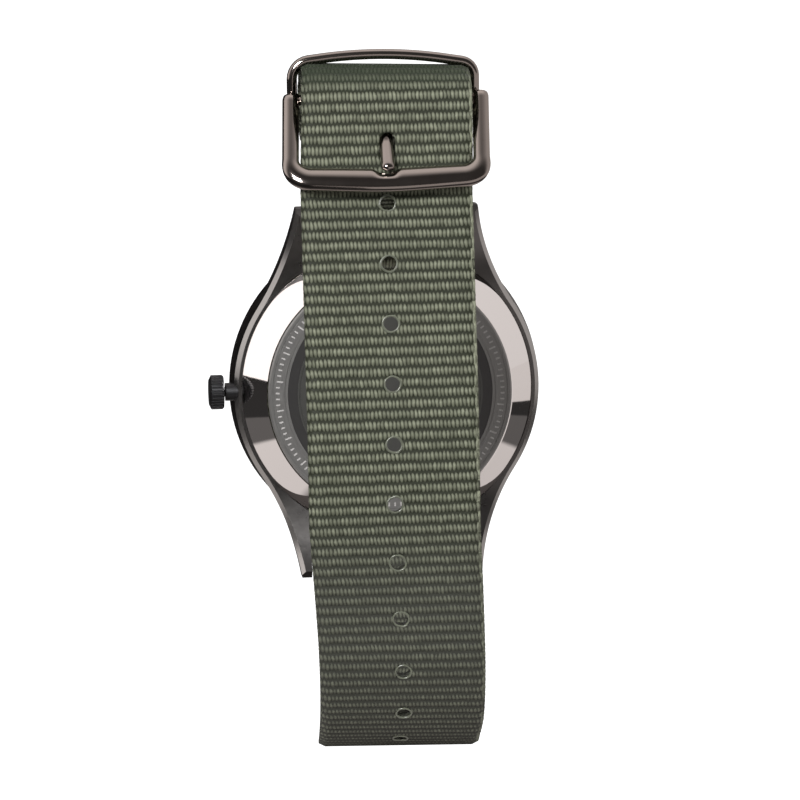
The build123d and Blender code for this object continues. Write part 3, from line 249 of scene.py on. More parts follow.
def makeCaseFinish():
    material, tree, shader = startMaterial("caseCoat", Metallic=1.0, Specular_Tint=casing["tint"])
    parts = axesOf(tree, objectPlace(tree))
    inside = maths(tree, "LESS_THAN", fromAxis(tree, parts), casing["coneRadius"])
    below = maths(tree, "LESS_THAN", parts["Y"], casing["coneTop"])
    cone = times(tree, inside, below)
    coat = placeGroup(tree, satin, {"Color": casing["coat"], **casing["satin"]})
    # painted highlight: faces whose normal leans back and to the side take the bright bevel colour
    facing = axesOf(tree, addNode(tree, "ShaderNodeTexCoord").outputs["Normal"])
    sloped = maths(tree, "COMPARE", facing["Y"], casing["bevelSlope"], casing["bevelSpread"])
    sideways = maths(tree, "GREATER_THAN", maths(tree, "ABSOLUTE", facing["X"]), casing["bevelAside"])
    coatWithPaintedHighlight = blendColor(tree, times(tree, sloped, sideways), coat["Color"], casing["edge"])
    color = blendColor(tree, cone, coatWithPaintedHighlight, casing["cone"])
    polished = times(tree, cone, -casing["conePolish"], coat["Roughness"])
    rough = maths(tree, "MAXIMUM", polished, casing["smoothest"])
    flat = addNode(tree, "ShaderNodeNewGeometry").outputs["Normal"]
    mixed = addNode(tree, "ShaderNodeMix", {0: cone, 4: coat["Normal"], 5: flat}, data_type="VECTOR")
    feed(tree, shader.inputs, {"Base Color": color, "Roughness": rough, "Normal": mixed.outputs[1]})
    return material


# Case back: turned steel with engraved graduations round its band, every fifth one longer
backing = {
    "color": (0.165, 0.162, 0.158),
    "bright": (0.3, 0.294, 0.285),
    "band": (0.06, 0.058, 0.058),
    # the centre's darker colour is painted shade, from the dark inside of the strap loop
    "centre": (0.09, 0.09, 0.085),
    "tick": (0.42, 0.41, 0.4),
    "ticks": 120,
    "longEvery": 5,
    "tickHalf": 0.13,  # half a tick's share of its step
    "tickInner": 13.75 * mm, "tickOuter": 14.6 * mm, "tickShort": 0.35 * mm,
    "bandInner": 11.8 * mm, "bandOuter": 13.05 * mm,
    "ringScale": (60.0, 0.05),  # the turning marks: by radius, and by angle
    "rings": (160.0, 3.0),
    "ringTone": 0.7, "ringRough": 0.2, "ringHeight": 0.25,
    "tickRough": 0.25, "tickDepth": -1.6,
    "roughness": 0.24, "bump": 0.5, "depth": 0.04 * mm,
}


def makeBackFinish():
    material, tree, shader = startMaterial("caseBackSteel", Metallic=0.7)
    parts = axesOf(tree, objectPlace(tree))
    radius = fromAxis(tree, parts)
    angle = maths(tree, "ARCTAN2", parts["X"], parts["Z"])
    outward = times(tree, radius, backing["ringScale"][0])
    around = times(tree, angle, backing["ringScale"][1])
    turning = addNode(tree, "ShaderNodeCombineXYZ", {0: outward, 1: around}).outputs[0]
    rings = speckle(tree, turning, *backing["rings"])[0]
    step = times(tree, angle, backing["ticks"] / fullTurn)
    positive = 1000.0  # whole steps that keep the count above zero

    def fromMiddle(scale):
        part = maths(tree, "FRACT", times(tree, step, scale, positive))
        return maths(tree, "ABSOLUTE", maths(tree, "SUBTRACT", part, 0.5))

    def between(low, high):
        above = maths(tree, "GREATER_THAN", radius, low)
        return times(tree, above, maths(tree, "LESS_THAN", radius, high))

    thin = maths(tree, "LESS_THAN", fromMiddle(1.0), backing["tickHalf"])
    long = maths(tree, "LESS_THAN", fromMiddle(1 / backing["longEvery"]), 0.5 / backing["longEvery"])
    short = backing["tickShort"]
    inner = times(tree, long, -short, backing["tickInner"] + short)
    tick = times(tree, thin, between(inner, backing["tickOuter"]))
    band = between(backing["bandInner"], backing["bandOuter"])
    # painted shade: the centre inside the band is darker
    centre = maths(tree, "LESS_THAN", radius, backing["bandInner"])
    tone = times(tree, rings, backing["ringTone"])
    color = blendColor(tree, tone, backing["color"], backing["bright"])
    for mask, name in ((band, "band"), (centre, "centre"), (tick, "tick")):
        color = blendColor(tree, mask, color, backing[name])
    rough = times(tree, rings, backing["ringRough"], backing["roughness"])
    rough = times(tree, tick, backing["tickRough"], rough)
    height = times(tree, rings, backing["ringHeight"])
    height = times(tree, tick, backing["tickDepth"], height)
    normal = bumpFrom(tree, height, backing["bump"], backing["depth"])
    feed(tree, shader.inputs, {"Base Color": color, "Roughness": rough, "Normal": normal})
    return material


# Woven nylon: upright warp grains over each rib, read from the strap's own UV map in millimetres
weave = {
    "ribPitch": 1.23, "grainPitch": 0.46, "slant": 0.22,
    "light": (0.2, 0.212, 0.155),
    # the dark colour is painted shade in the gaps between grains, and the random tone blends towards it too
    "dark": (0.016, 0.018, 0.011),
    "wobble": (0.3, 0.34, 0), "wobbleNoise": (0.9, 2.0),
    "grainHalf": 0.52, "grainReach": 0.44,
    "grainPowers": (2.0, 1.9, 0.8),  # fall-off to the sides and to the ends, and of the whole
    "grainLit": (0.36, 0.54),  # spread from grain to grain, and the least
    "fibreStretch": (14.0, 1.2, 1.0), "fibreNoise": (1.6, 2.0), "fibreLit": (0.5, 0.75),
    "patchNoise": (0.12, 2.0), "patchLit": (0.3, 0.85),
    "selvage": (9.7, 9.85), "selvageLit": 1.6,
    "front": 15.0,  # the wrist face lies above this in the UV map
    "fibreHeight": 0.12, "grainHeight": 0.9, "bump": 0.9, "depth": 0.16 * mm,
    # painted shade: the top bend and the wrist-side foot are darkened towards these colours
    "bendFrom": 40.5 * mm, "bendTo": 44.2 * mm, "bendShare": 0.97, "bendColor": (0.016, 0.022, 0.013),
    "footFrom": -4.0 * mm, "footTo": -20.0 * mm, "footShare": 0.5, "footColor": (0.036, 0.036, 0.033),
}


def makeWeave():
    tree, given, out = startGroup(
        "weave",
        [
            ("UV", "Vector", (0, 0, 0)),
            ("Light", "Color", (0.5, 0.5, 0.5, 1)),
            ("Dark", "Color", (0, 0, 0, 1)),
        ],
        [("Color", "Color"), ("Height", "Float")],
    )
    wobble = speckle(tree, given["UV"], *weave["wobbleNoise"])[1]
    parts = axesOf(tree, vectorMaths(tree, "MULTIPLY_ADD", wobble, weave["wobble"], given["UV"]))
    row = maths(tree, "DIVIDE", parts["Y"], weave["ribPitch"])
    rowNumber = maths(tree, "FLOOR", row)
    along = maths(tree, "SUBTRACT", maths(tree, "FRACT", row), 0.5)
    odd = times(tree, maths(tree, "FLOORED_MODULO", rowNumber, 2.0), 0.5)
    column = maths(tree, "ADD", maths(tree, "DIVIDE", parts["X"], weave["grainPitch"]), odd)
    slanted = times(tree, along, weave["slant"], column)
    columnNumber = maths(tree, "FLOOR", slanted)
    sideways = maths(tree, "SUBTRACT", maths(tree, "FRACT", slanted), 0.5)

    # painted shade: a grain is brightest at its middle and falls off to its sides and ends, down to the dark
    # colour in the gaps
    def fallOff(distance, reach, steepness):
        share = maths(tree, "ABSOLUTE", maths(tree, "DIVIDE", distance, reach))
        return maths(tree, "POWER", share, steepness)

    sidePower, endPower, power = weave["grainPowers"]
    left = maths(tree, "SUBTRACT", 1.0, fallOff(sideways, weave["grainHalf"], sidePower))
    grain = maths(tree, "SUBTRACT", left, fallOff(along, weave["grainReach"], endPower), clamp=True)
    grain = maths(tree, "POWER", grain, power)
    cell = addNode(tree, "ShaderNodeCombineXYZ", {0: columnNumber, 1: rowNumber}).outputs[0]
    chance = addNode(tree, "ShaderNodeTexWhiteNoise", {"Vector": cell}, noise_dimensions="2D").outputs[0]
    stretched = vectorMaths(tree, "MULTIPLY", given["UV"], weave["fibreStretch"])
    fibre = speckle(tree, stretched, *weave["fibreNoise"])[0]
    patch = speckle(tree, given["UV"], *weave["patchNoise"])[0]
    # the grain's painted shade, then the webbing's own tone: spread from grain to grain, fibres and patches
    toneAndPaintedShade = grain
    for value, key in ((chance, "grainLit"), (fibre, "fibreLit"), (patch, "patchLit")):
        toneAndPaintedShade = times(tree, toneAndPaintedShade, times(tree, value, *weave[key]))
    low, high = weave["selvage"]
    reach = {"Value": parts["X"], "From Min": low, "From Max": high, "To Min": 0.0}
    selvage = addNode(tree, "ShaderNodeMapRange", reach).outputs[0]
    selvage = times(tree, selvage, maths(tree, "LESS_THAN", parts["X"], weave["front"]))
    toneAndPaintedShade = times(tree, selvage, times(tree, chance, weave["selvageLit"]), toneAndPaintedShade)
    height = times(tree, grain, weave["grainHeight"])
    height = times(tree, fibre, weave["fibreHeight"], height)
    feed(tree, out, {"Color": blendColor(tree, toneAndPaintedShade, given["Dark"], given["Light"]), "Height": height})
    return tree


weaveGroup = makeWeave()


def makeStrapNylon():
    plain = {"Roughness": 0.6, "Sheen_Weight": 0.02, "Sheen_Roughness": 0.4, "Specular_IOR_Level": 0.16}
    material, tree, shader = startMaterial("strapNylon", **plain)
    place = addNode(tree, "ShaderNodeUVMap", uv_map="millimetres").outputs[0]
    got = placeGroup(tree, weaveGroup, {"UV": place, "Light": weave["light"], "Dark": weave["dark"]})
    height = axesOf(tree, objectPlace(tree))["Z"]
    color = got["Color"]
    # painted shade, by height: the foot and the top bend turn darker
    for part in ("foot", "bend"):
        paintedShadeShare = smoothRamp(tree, height, weave[part + "From"], weave[part + "To"], 0.0, weave[part + "Share"])
        color = blendColor(tree, paintedShadeShare, color, weave[part + "Color"])
    normal = bumpFrom(tree, got["Height"], weave["bump"], weave["depth"])
    feed(tree, shader.inputs, {"Base Color": color, "Normal": normal})
    return material


# Crystal: clear, with a faint smear
def makeGlass():
    plain = {"Base_Color": (0.97, 0.985, 1.0), "Transmission_Weight": 1.0, "IOR": 1.5}
    material, tree, shader = startMaterial("crystalGlass", **plain)
    smear = placeGroup(tree, satin, {"Scale": 300.0, "Roughness": 0.015, "Spread": 0.02})
    feed(tree, shader.inputs, {"Roughness": smear["Roughness"]})
    return material


finishes = {
    "case_metal": makeCaseFinish(),
    "back_steel": makeBackFinish(),
    "seal_rubber": plastic("sealRubber", (0.012, 0.012, 0.012), 0.7),
    "crystal_glass": makeGlass(),
    "flange_black": plastic("flangeBlack", (0.012, 0.012, 0.013), 0.45),
    "dial_black": plastic("dialLacquer", (0.011, 0.011, 0.012), 0.55, 0.6, 4000.0),
    "lume": plastic("lumePaint", (0.74, 0.78, 0.6), 0.6, 0.5, 5000.0),
    "movement_plastic": plastic("movementPlastic", (0.75, 0.75, 0.7), 0.4),
    "plate_brass": metal("plateBrass", (0.72, 0.53, 0.24), 0.34),
    "wheel_brass": metal("wheelBrass", (0.8, 0.6, 0.27), 0.22),
    "works_steel": metal("worksSteel", (0.55, 0.55, 0.56), 0.26),
    "cell_steel": metal("cellSteel", (0.62, 0.62, 0.61), 0.3),
    "board_green": plastic("boardGreen", (0.02, 0.12, 0.05), 0.3),
    "chip_black": plastic("chipBlack", (0.01, 0.01, 0.011), 0.5),
    "can_steel": metal("canSteel", (0.7, 0.7, 0.7), 0.15),
    "winding_copper": metal("windingCopper", (0.72, 0.3, 0.13), 0.25, 0.1, 1.0, 9000.0, (1, 0.05, 0.05)),
    "stator_iron": metal("statorIron", (0.4, 0.4, 0.41), 0.4),
    "magnet_grey": metal("magnetGrey", (0.22, 0.22, 0.23), 0.35),
    "hand_paint": plastic("handPaint", (0.78, 0.78, 0.72), 0.4, 0.3, 5000.0),
    "crown_black": metal("crownBlack", (0.045, 0.045, 0.047), 0.42, 0.12, 0.4, 2600.0),
    "bar_steel": metal("barSteel", (0.55, 0.55, 0.55), 0.3),
    "strap_nylon": makeStrapNylon(),
    "buckle_nickel": metal("darkNickel", (0.3, 0.265, 0.245), 0.12, 0.06, 0.06, 700.0),
}
dialInk = plastic("dialInk", (0.72, 0.72, 0.66), 0.5, 0.3, 6000.0)
stitchThread = plastic("stitchThread", (0.05, 0.056, 0.036), 0.6, 0.8, 7000.0)
meltedNylon = plastic(
    "meltedNylon", (0.085, 0.092, 0.068), 0.32, 0.9, 2200.0, 0.16, Coat_Weight=0.35, Coat_Roughness=0.2
)


def dressNodes():
    slots = {part["node"]: part["material_slot"] for part in frame["record"]["subparts"]}
    for name, piece in frame["nodes"].items():
        piece.data.materials.clear()
        piece.data.materials.append(finishes["crown_black" if name == "crown_tube" else slots[name]])


dressNodes()
print("materials made")


# Small helpers for shapes
def clamped(value):
    return min(max(value, 0), 1)


def eased(share):
    return share * share * (3 - 2 * share)


# Height of a rounded edge, 0 to 1, where inward is the share of the way in from it
def rounded(inward, least):
    return math.sqrt(max(1 - (1 - min(inward, 1)) ** 2, least))


def turned(vector, degreesTurned):
    angle = math.radians(degreesTurned)
    across = vector.x * math.cos(angle) - vector.y * math.sin(angle)
    return Vector((across, vector.x * math.sin(angle) + vector.y * math.cos(angle)))


def vertsOf(items):
    return [item for item in items if isinstance(item, bmesh.types.BMVert)]


# Makes the mesh a piece of the watch; a closed shape gets outward normals and smooth faces
def finishPiece(mesh, name, finish, body, replaced=None, smooth=True):
    if smooth:
        bmesh.ops.recalc_face_normals(mesh, faces=mesh.faces)
        for face in mesh.faces:
            face.smooth = True
    piece = makeObject(mesh, name, finish)
    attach(piece, body)
    if replaced:
        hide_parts(replaced)
    return piece


def makeObject(mesh, name, finish):
    data = bpy.data.meshes.new(name)
    mesh.to_mesh(data)
    mesh.free()
    data.materials.append(finish)
    piece = bpy.data.objects.new(name, data)
    scene.collection.objects.link(piece)
    return piece


# Strap: its side view is drawn flat, x towards the head and y up along the leaning loop, in millimetres
strap = {
    "width": 20.0, "webbing": 1.2, "lean": 8.0, "origin": (-44.6, 6.3),
    "bend": 5.4, "innerBend": 3.5, "top": 34.0, "belly": 73.0, "bellyTurn": 23.5, "sagShare": 0.4406,
    "wrap": 1.4, "barHeight": 2.6, "barReach": 20.9, "pinAngle": 19.0, "pinWrap": 1.35,
    "sewn": 1.14, "pinch": 5.0, "buckleShare": 7.0, "tail": 7.0, "tip": 15.0,
}
lean = math.radians(strap["lean"])
acrossWay = Vector((0, math.cos(lean), -math.sin(lean)))
upWay = Vector((0, math.sin(lean), math.cos(lean)))
loopOrigin = Vector((0, *strap["origin"]))


def inLoop(y, z):
    offset = Vector((0, y, z)) - loopOrigin
    return Vector((offset.dot(acrossWay), offset.dot(upWay)))


def fromLoop(point):
    return loopOrigin + acrossWay * point.x + upWay * point.y


def runBetween(first, firstRadius, second, secondRadius):
    span = second - first
    swing = math.degrees(math.acos((firstRadius - secondRadius) / span.length))
    normal = turned(span.normalized(), swing)
    return first + normal * firstRadius, second + normal * secondRadius


def lineRun(start, finish):
    return {"length": (finish - start).length, "start": start, "way": (finish - start).normalized()}


def arcRun(centre, start, finish):
    first = math.atan2(start.y - centre.y, start.x - centre.x)
    last = math.atan2(finish.y - centre.y, finish.x - centre.x)
    radius = (start - centre).length
    length = radius * ((first - last) % fullTurn)
    return {"length": length, "centre": centre, "radius": radius, "first": first}


def routeLength(route):
    return sum(run["length"] for run in route)


# A point of the route and its outward normal at a distance along it
def alongRoute(route, distance):
    for number, run in enumerate(route):
        if distance <= run["length"] or number == len(route) - 1:
            break
        distance -= run["length"]
    if "centre" in run:
        angle = run["first"] - distance / run["radius"]
        normal = Vector((math.cos(angle), math.sin(angle)))
        return run["centre"] + normal * run["radius"], normal
    return run["start"] + run["way"] * distance, turned(run["way"], 90)


halfWebbing = strap["webbing"] / 2
topCentre = Vector((strap["bend"], strap["top"]))
lowerBar = inLoop(strap["barHeight"], -strap["barReach"])
upperBar = inLoop(strap["barHeight"], strap["barReach"])
bellyCentre = Vector((halfWebbing + strap["belly"], 0))
sagRadius = (lowerBar.x - halfWebbing) * strap["sagShare"]
sagWay = turned(Vector((1, 0)), strap["bellyTurn"])
sagCentre = bellyCentre - sagWay * (strap["belly"] - sagRadius)
wrap = strap["wrap"]
lowerRun = runBetween(lowerBar, wrap, sagCentre, sagRadius)
upperRun = runBetween(topCentre, strap["innerBend"], upperBar, wrap)
lowerWay = (lowerRun[1] - lowerRun[0]).normalized()
upperWay = (upperRun[1] - upperRun[0]).normalized()
lowerNormal = (lowerRun[0] - lowerBar).normalized()
upperNormal = (upperRun[0] - topCentre).normalized()
lowerPinch = lowerBar + lowerNormal * (wrap - strap["sewn"]) + lowerWay * strap["pinch"]
lowerFold = runBetween(lowerPinch, 0, lowerBar, wrap)
upperPinch = upperBar + upperNormal * (wrap - strap["sewn"]) - upperWay * strap["pinch"]
upperFold = runBetween(upperBar, wrap, upperPinch, 0)
pinWay = turned(Vector((-1, 0)), -strap["pinAngle"])
pinCentre = topCentre + pinWay * (strap["innerBend"] - strap["pinWrap"])
pinLeave = topCentre + pinWay * strap["innerBend"]
bucklePinch = topCentre + upperNormal * (strap["innerBend"] - strap["sewn"]) + upperWay * strap["buckleShare"]
buckleFold = runBetween(bucklePinch, 0, pinCentre, strap["pinWrap"])
sagEnd = sagCentre - sagWay * sagRadius
nearFoot = Vector((halfWebbing, 0))
nearTop = Vector((halfWebbing, strap["top"]))
tipStart = topCentre + upperNormal * (strap["bend"] - halfWebbing)

holeSideRoute = [
    lineRun(lowerPinch + lowerWay * strap["tail"], lowerPinch),
    lineRun(lowerPinch, lowerFold[1]),
    arcRun(lowerBar, lowerFold[1], lowerRun[0]),
    lineRun(lowerRun[0], lowerRun[1]),
    arcRun(sagCentre, lowerRun[1], sagEnd),
    arcRun(bellyCentre, sagEnd, nearFoot),
    lineRun(nearFoot, nearTop),
    arcRun(topCentre, nearTop, tipStart),
    lineRun(tipStart, tipStart + upperWay * strap["tip"]),
]
buckleSideRoute = [
    lineRun(bucklePinch + upperWay * strap["buckleShare"], bucklePinch),
    lineRun(bucklePinch, buckleFold[1]),
    arcRun(pinCentre, buckleFold[1], pinLeave),
    arcRun(topCentre, pinLeave, upperRun[0]),
    lineRun(upperRun[0], upperRun[1]),
    arcRun(upperBar, upperRun[1], upperFold[0]),
    lineRun(upperFold[0], upperPinch),
    lineRun(upperPinch, upperPinch - upperWay * strap["tail"]),
]

# How the loop sits: it leans to the crown's side at the wrist, and its foot and top lie a little aside
lie = {
    "shift": 4.1, "shiftStart": 3.0, "shiftEnd": 32.0, "shiftStraight": 0.6,
    "topShift": (0.55, 30.0, 15.0),  # amount, the height where it starts, and over what height it grows
    "topNarrowing": (0.018, 35.0, 9.0),
    "topDrop": (0.38, 41.0, 4.0),
    "topSlant": (0.033, 41.0, 4.0),
    "footShift": 1.5, "footNarrowing": 0.03, "footSlant": 0.03, "footStart": -9.0, "footEnd": -34.0,
}


# 0 between the lugs, 1 at the wrist side
def wristShare(y):
    return clamped((-lie["shiftStart"] - y) / (lie["shiftEnd"] - lie["shiftStart"]))


# 1 at the wrist side of the loop's foot, 0 between the lugs and higher up
def footShare(y, z):
    low = (lie["footStart"] - z) / (lie["footStart"] - lie["footEnd"])
    return clamped(low) * wristShare(y)


def atTop(z, name):
    amount, start, reach = lie[name]
    return amount * clamped((z - start) / reach)


def sideShift(y, z):
    share = wristShare(y)
    leaning = lie["shiftStraight"] * share + (1 - lie["shiftStraight"]) * eased(share)
    return atTop(z, "topShift") + lie["footShift"] * footShare(y, z) - lie["shift"] * leaning


# Places a point of the flat strap: x across, y along the route, z out of the webbing's middle
def wrapPoint(route, flat):
    place, normal = alongRoute(route, flat.y)
    point = fromLoop(place + normal * flat.z)
    foot = footShare(point.y, point.z)
    x = flat.x * (1 - atTop(point.z, "topNarrowing") - lie["footNarrowing"] * foot)
    drop = atTop(point.z, "topDrop") + (atTop(point.z, "topSlant") + lie["footSlant"] * foot) * x
    return Vector((x + sideShift(point.y, point.z), point.y, point.z - drop)) * mm


# Cuts a hole in a flat grid: faces inside go, and the grid's edge moves onto the hole's outline
def cutHole(mesh, centre, halfWidth, halfLength):
    straight = max(halfLength - halfWidth, 0)

    def nearest(point):
        return Vector((0, centre + min(max(point.y - centre, -straight), straight)))

    inside = []
    for face in mesh.faces:
        middle = face.calc_center_median()
        if abs(middle.y - centre) < halfLength + 1 and (middle.xy - nearest(middle)).length < halfWidth:
            inside.append(face)
    rim = set()
    for face in inside:
        for vertex in face.verts:
            if any(other not in inside for other in vertex.link_faces):
                rim.add(vertex)
    bmesh.ops.delete(mesh, geom=inside, context="FACES")
    for vertex in rim:
        core = nearest(vertex.co)
        vertex.co.xy = core + (vertex.co.xy - core).normalized() * halfWidth


# The webbing itself: ribs along it, soft edges, holes, a slot for the tongue and a blunt point
webbing = {
    "ribHeight": 0.2, "ribPower": 0.7, "rowsPerRib": 6, "columns": 44,
    "middleColumns": 0.62,  # below 1 draws the columns to the middle, where the holes are
    "edge": 0.7, "edgeLeast": 0.12, "edgeRib": 0.1, "edgeIn": 0.06, "edgeReach": 0.25,
    "pointLength": 6.0, "pointShare": 0.33,
    "wristFace": 37.3,  # moves the inner face's threads in the UV map
    "slotPush": (2.4, 3.2, 1.7),  # the inner face gives way behind a slot: half width, half length, how far
}
holeRow = {"count": 12, "pitch": 7.0, "first": 29.5, "radius": 0.95}
nearStart = routeLength(holeSideRoute[:6])
lastHole = nearStart + holeRow["first"]
holePlaces = [lastHole - holeRow["pitch"] * number for number in range(1, holeRow["count"])]

# Slots: middle along the strap, half width, half length
tongueSlot = (nearStart + 29.05, 0.93, 1.6)
foldSlot = (routeLength(buckleSideRoute[:2]) + buckleSideRoute[2]["length"] / 2, 1.15, 2.9)


def makeFlatStrap(length, holes, slot, pointed):
    rows = round(length / weave["ribPitch"] * webbing["rowsPerRib"])
    mesh = bmesh.new()
    half = strap["width"] / 2
    inner = webbing["middleColumns"]
    bmesh.ops.create_grid(mesh, x_segments=webbing["columns"], y_segments=rows, size=1)
    for vertex in mesh.verts:
        share = vertex.co.x
        across = half * (inner * share + (1 - inner) * share**3)
        vertex.co = Vector((across, (vertex.co.y + 1) / 2 * length, -1))
        if pointed:
            least = webbing["pointShare"]
            vertex.co.x *= least + (1 - least) * min((length - vertex.co.y) / webbing["pointLength"], 1)
    for centre in holes:
        cutHole(mesh, centre, holeRow["radius"], holeRow["radius"])
    cutHole(mesh, *slot)
    return mesh


def makeStrap(name, replaced, route, holes, slot, pointed):
    mesh = makeFlatStrap(routeLength(route), holes, slot, pointed)
    bottom = list(mesh.faces)
    lifted = bmesh.ops.extrude_face_region(mesh, geom=bottom, use_keep_orig=True)
    for vertex in vertsOf(lifted["geom"]):
        vertex.co.z = 1
    for face in bottom:
        face.normal_flip()
    uvs = mesh.loops.layers.uv.new("millimetres")
    for face in mesh.faces:
        for loop in face.loops:
            aside = webbing["wristFace"] if loop.vert.co.z < 0 else 0
            loop[uvs].uv = (loop.vert.co.x + aside, loop.vert.co.y)
    pushWidth, pushLength, push = webbing["slotPush"]
    for vertex in mesh.verts:
        flat = vertex.co.copy()
        side = flat.z
        rib = abs(math.sin(math.pi * flat.y / weave["ribPitch"])) ** webbing["ribPower"]
        fromEdge = strap["width"] / 2 - abs(flat.x)
        thick = halfWebbing - webbing["ribHeight"] * (1 - rib)
        if fromEdge < webbing["edgeReach"]:
            flat.x += math.copysign(webbing["edgeRib"] * rib - webbing["edgeIn"], flat.x)
        flat.z = side * thick * rounded(fromEdge / webbing["edge"], webbing["edgeLeast"])
        if side < 0:
            gone = ((flat.y - slot[0]) / pushLength) ** 2 + (flat.x / pushWidth) ** 2
            flat.y += push * math.exp(-gone)
        vertex.co = wrapPoint(route, flat)
    finishPiece(mesh, name, finishes["strap_nylon"], "watch", replaced)


makeStrap("strapHoleSide", "strap_hole_side", holeSideRoute, holePlaces, tongueSlot, True)
makeStrap("strapBuckleSide", "strap_buckle_side", buckleSideRoute, [], foldSlot, False)
print("strap made")

# Melted rims round the holes
rimForm = {"wire": 0.13, "lift": 0.53, "around": 28, "section": 8, "lumps": 1.7, "waver": 0.09, "rise": 0.05}


def makeHoleRims():
    mesh = bmesh.new()
    place = Matrix.Translation((holeRow["radius"], 0, rimForm["lift"])) @ Matrix.Rotation(math.pi / 2, 4, "X")
    around = {"cent": (0, 0, 0), "axis": (0, 0, 1), "angle": fullTurn, "steps": rimForm["around"]}
    section = {"segments": rimForm["section"], "radius": rimForm["wire"], "matrix": place}
    for centre in holePlaces:
        before = set(mesh.verts)
        ring = bmesh.ops.create_circle(mesh, **section)
        edges = list({edge for vertex in ring["verts"] for edge in vertex.link_edges})
        bmesh.ops.spin(mesh, geom=edges, use_merge=True, **around)
        for vertex in set(mesh.verts) - before:
            spot = Vector((vertex.co.x * rimForm["lumps"], vertex.co.y * rimForm["lumps"], centre))
            away = noise.noise(spot)
            vertex.co.xy *= 1 + rimForm["waver"] * away
            vertex.co.z += rimForm["rise"] * away
            vertex.co = wrapPoint(holeSideRoute, vertex.co + Vector((0, centre, 0)))
    finishPiece(mesh, "holeRims", meltedNylon, "watch")


makeHoleRims()
print("hole rims made")


# A wire or bar swept through stations: each is a matrix that places the unit circle of its section
def sweepStations(name, stations, sections, body, replaced, closed=False):
    mesh = bmesh.new()
    bmesh.ops.create_circle(mesh, segments=sections, radius=1, matrix=stations[0])
    if not closed:
        bmesh.ops.contextual_create(mesh, geom=mesh.edges[:])
    edges = mesh.edges[:]
    for before, after in zip(stations, stations[1:]):
        grown = bmesh.ops.extrude_edge_only(mesh, edges=edges)["geom"]
        ring = vertsOf(grown)
        lines = [item for item in grown if isinstance(item, bmesh.types.BMEdge)]
        edges = [line for line in lines if line.verts[0] in ring and line.verts[1] in ring]
        bmesh.ops.transform(mesh, matrix=after @ before.inverted(), verts=ring)
    if closed:
        bmesh.ops.remove_doubles(mesh, verts=mesh.verts, dist=weld)
    else:
        bmesh.ops.contextual_create(mesh, geom=edges)
    return finishMetal(mesh, name, body, replaced)


def finishMetal(mesh, name, body, replaced=None):
    bmesh.ops.scale(mesh, vec=(mm, mm, mm), verts=mesh.verts)
    return finishPiece(mesh, name, finishes["buckle_nickel"], body, replaced)


# Points of a route with rounded corners, in steps of about one size, each with its direction
def roundRoute(points, radii, step, closed=False):
    count = len(points)
    leastTurns = 6
    pieces = []
    for number, point in enumerate(points):
        if not closed and number in (0, count - 1):
            pieces.append([point.copy()])
            continue
        back = (points[number - 1] - point).normalized()
        on = (points[(number + 1) % count] - point).normalized()
        half = back.angle(on) / 2
        run = radii[number] / math.tan(half)
        centre = point + (back + on).normalized() * (radii[number] / math.sin(half))
        first = point + back * run - centre
        swing = math.pi - 2 * half
        turns = max(int(swing * radii[number] / step), leastTurns)
        axis = back.cross(on)
        pieces.append(
            [centre + Matrix.Rotation(-swing * turn / turns, 3, axis) @ first for turn in range(turns + 1)]
        )
    if closed:
        pieces.append([pieces[0][0]])
    route = []
    for piece in pieces:
        if route:
            gap = piece[0] - route[-1]
            fills = max(int(gap.length / step), 1)
            route += [route[-1] + gap * (fill / fills) for fill in range(1, fills)]
        route += piece
    last = len(route) - 1
    ways = []
    for number in range(last + 1):
        if closed:
            before, after = (number - 1) % last, (number + 1) % last
        else:
            before, after = max(number - 1, 0), min(number + 1, last)
        ways.append((route[after] - route[before]).normalized())
    return list(zip(route, ways))


def stationAt(centre, forward, faceWay, halfWidth, halfThickness):
    side = forward.cross(faceWay).normalized()
    station = Matrix((side * halfWidth, faceWay * halfThickness, forward)).transposed().to_4x4()
    station.translation = centre
    return station


# Buckle frame: a crowned bar, notched for the tongue, and two arms that end round over the pin
buckle = {
    "tilt": 27.6, "thick": 0.82, "pitch": 10.38, "bow": 0.54, "bowRadius": 60, "corner": 2.3,
    "armReach": 11.13, "armHalf": 0.98, "barHalf": 1.38, "barSwell": 0.14, "barBlend": 2.6,
    "overPin": 1.0, "endRound": 0.9, "endLeast": 0.03, "endWidth": 0.45, "shift": 0.48, "slant": 0.062,
    "notch": 0.55, "notchHalf": 1.15, "notchBlend": 1.4, "notchFront": 0.9, "notchBack": 0.2,
    "notchDeep": 2.5, "notchWide": 3.0, "step": 0.3, "sections": 28,
    "pinHalf": 10.9, "pinRadius": 0.5, "pinSections": 24,
}
sideWay = Vector((1, 0, 0))
wristAside = sideWay * -lie["shift"]
frameTurn = math.radians(buckle["tilt"])
framePin = fromLoop(pinCentre) + wristAside
frameAlong = -acrossWay * math.sin(frameTurn) - upWay * math.cos(frameTurn)
frameOut = -acrossWay * math.cos(frameTurn) + upWay * math.sin(frameTurn)


def frameSpot(x, s):
    return framePin + sideWay * (x + buckle["shift"] - buckle["slant"] * s) + frameAlong * s


# A point's place on the frame: across it, along it from the pin, and out of it
def onFrame(point):
    local = point - framePin
    s = local.dot(frameAlong)
    return local.x - buckle["shift"] + buckle["slant"] * s, s, local.dot(frameOut)


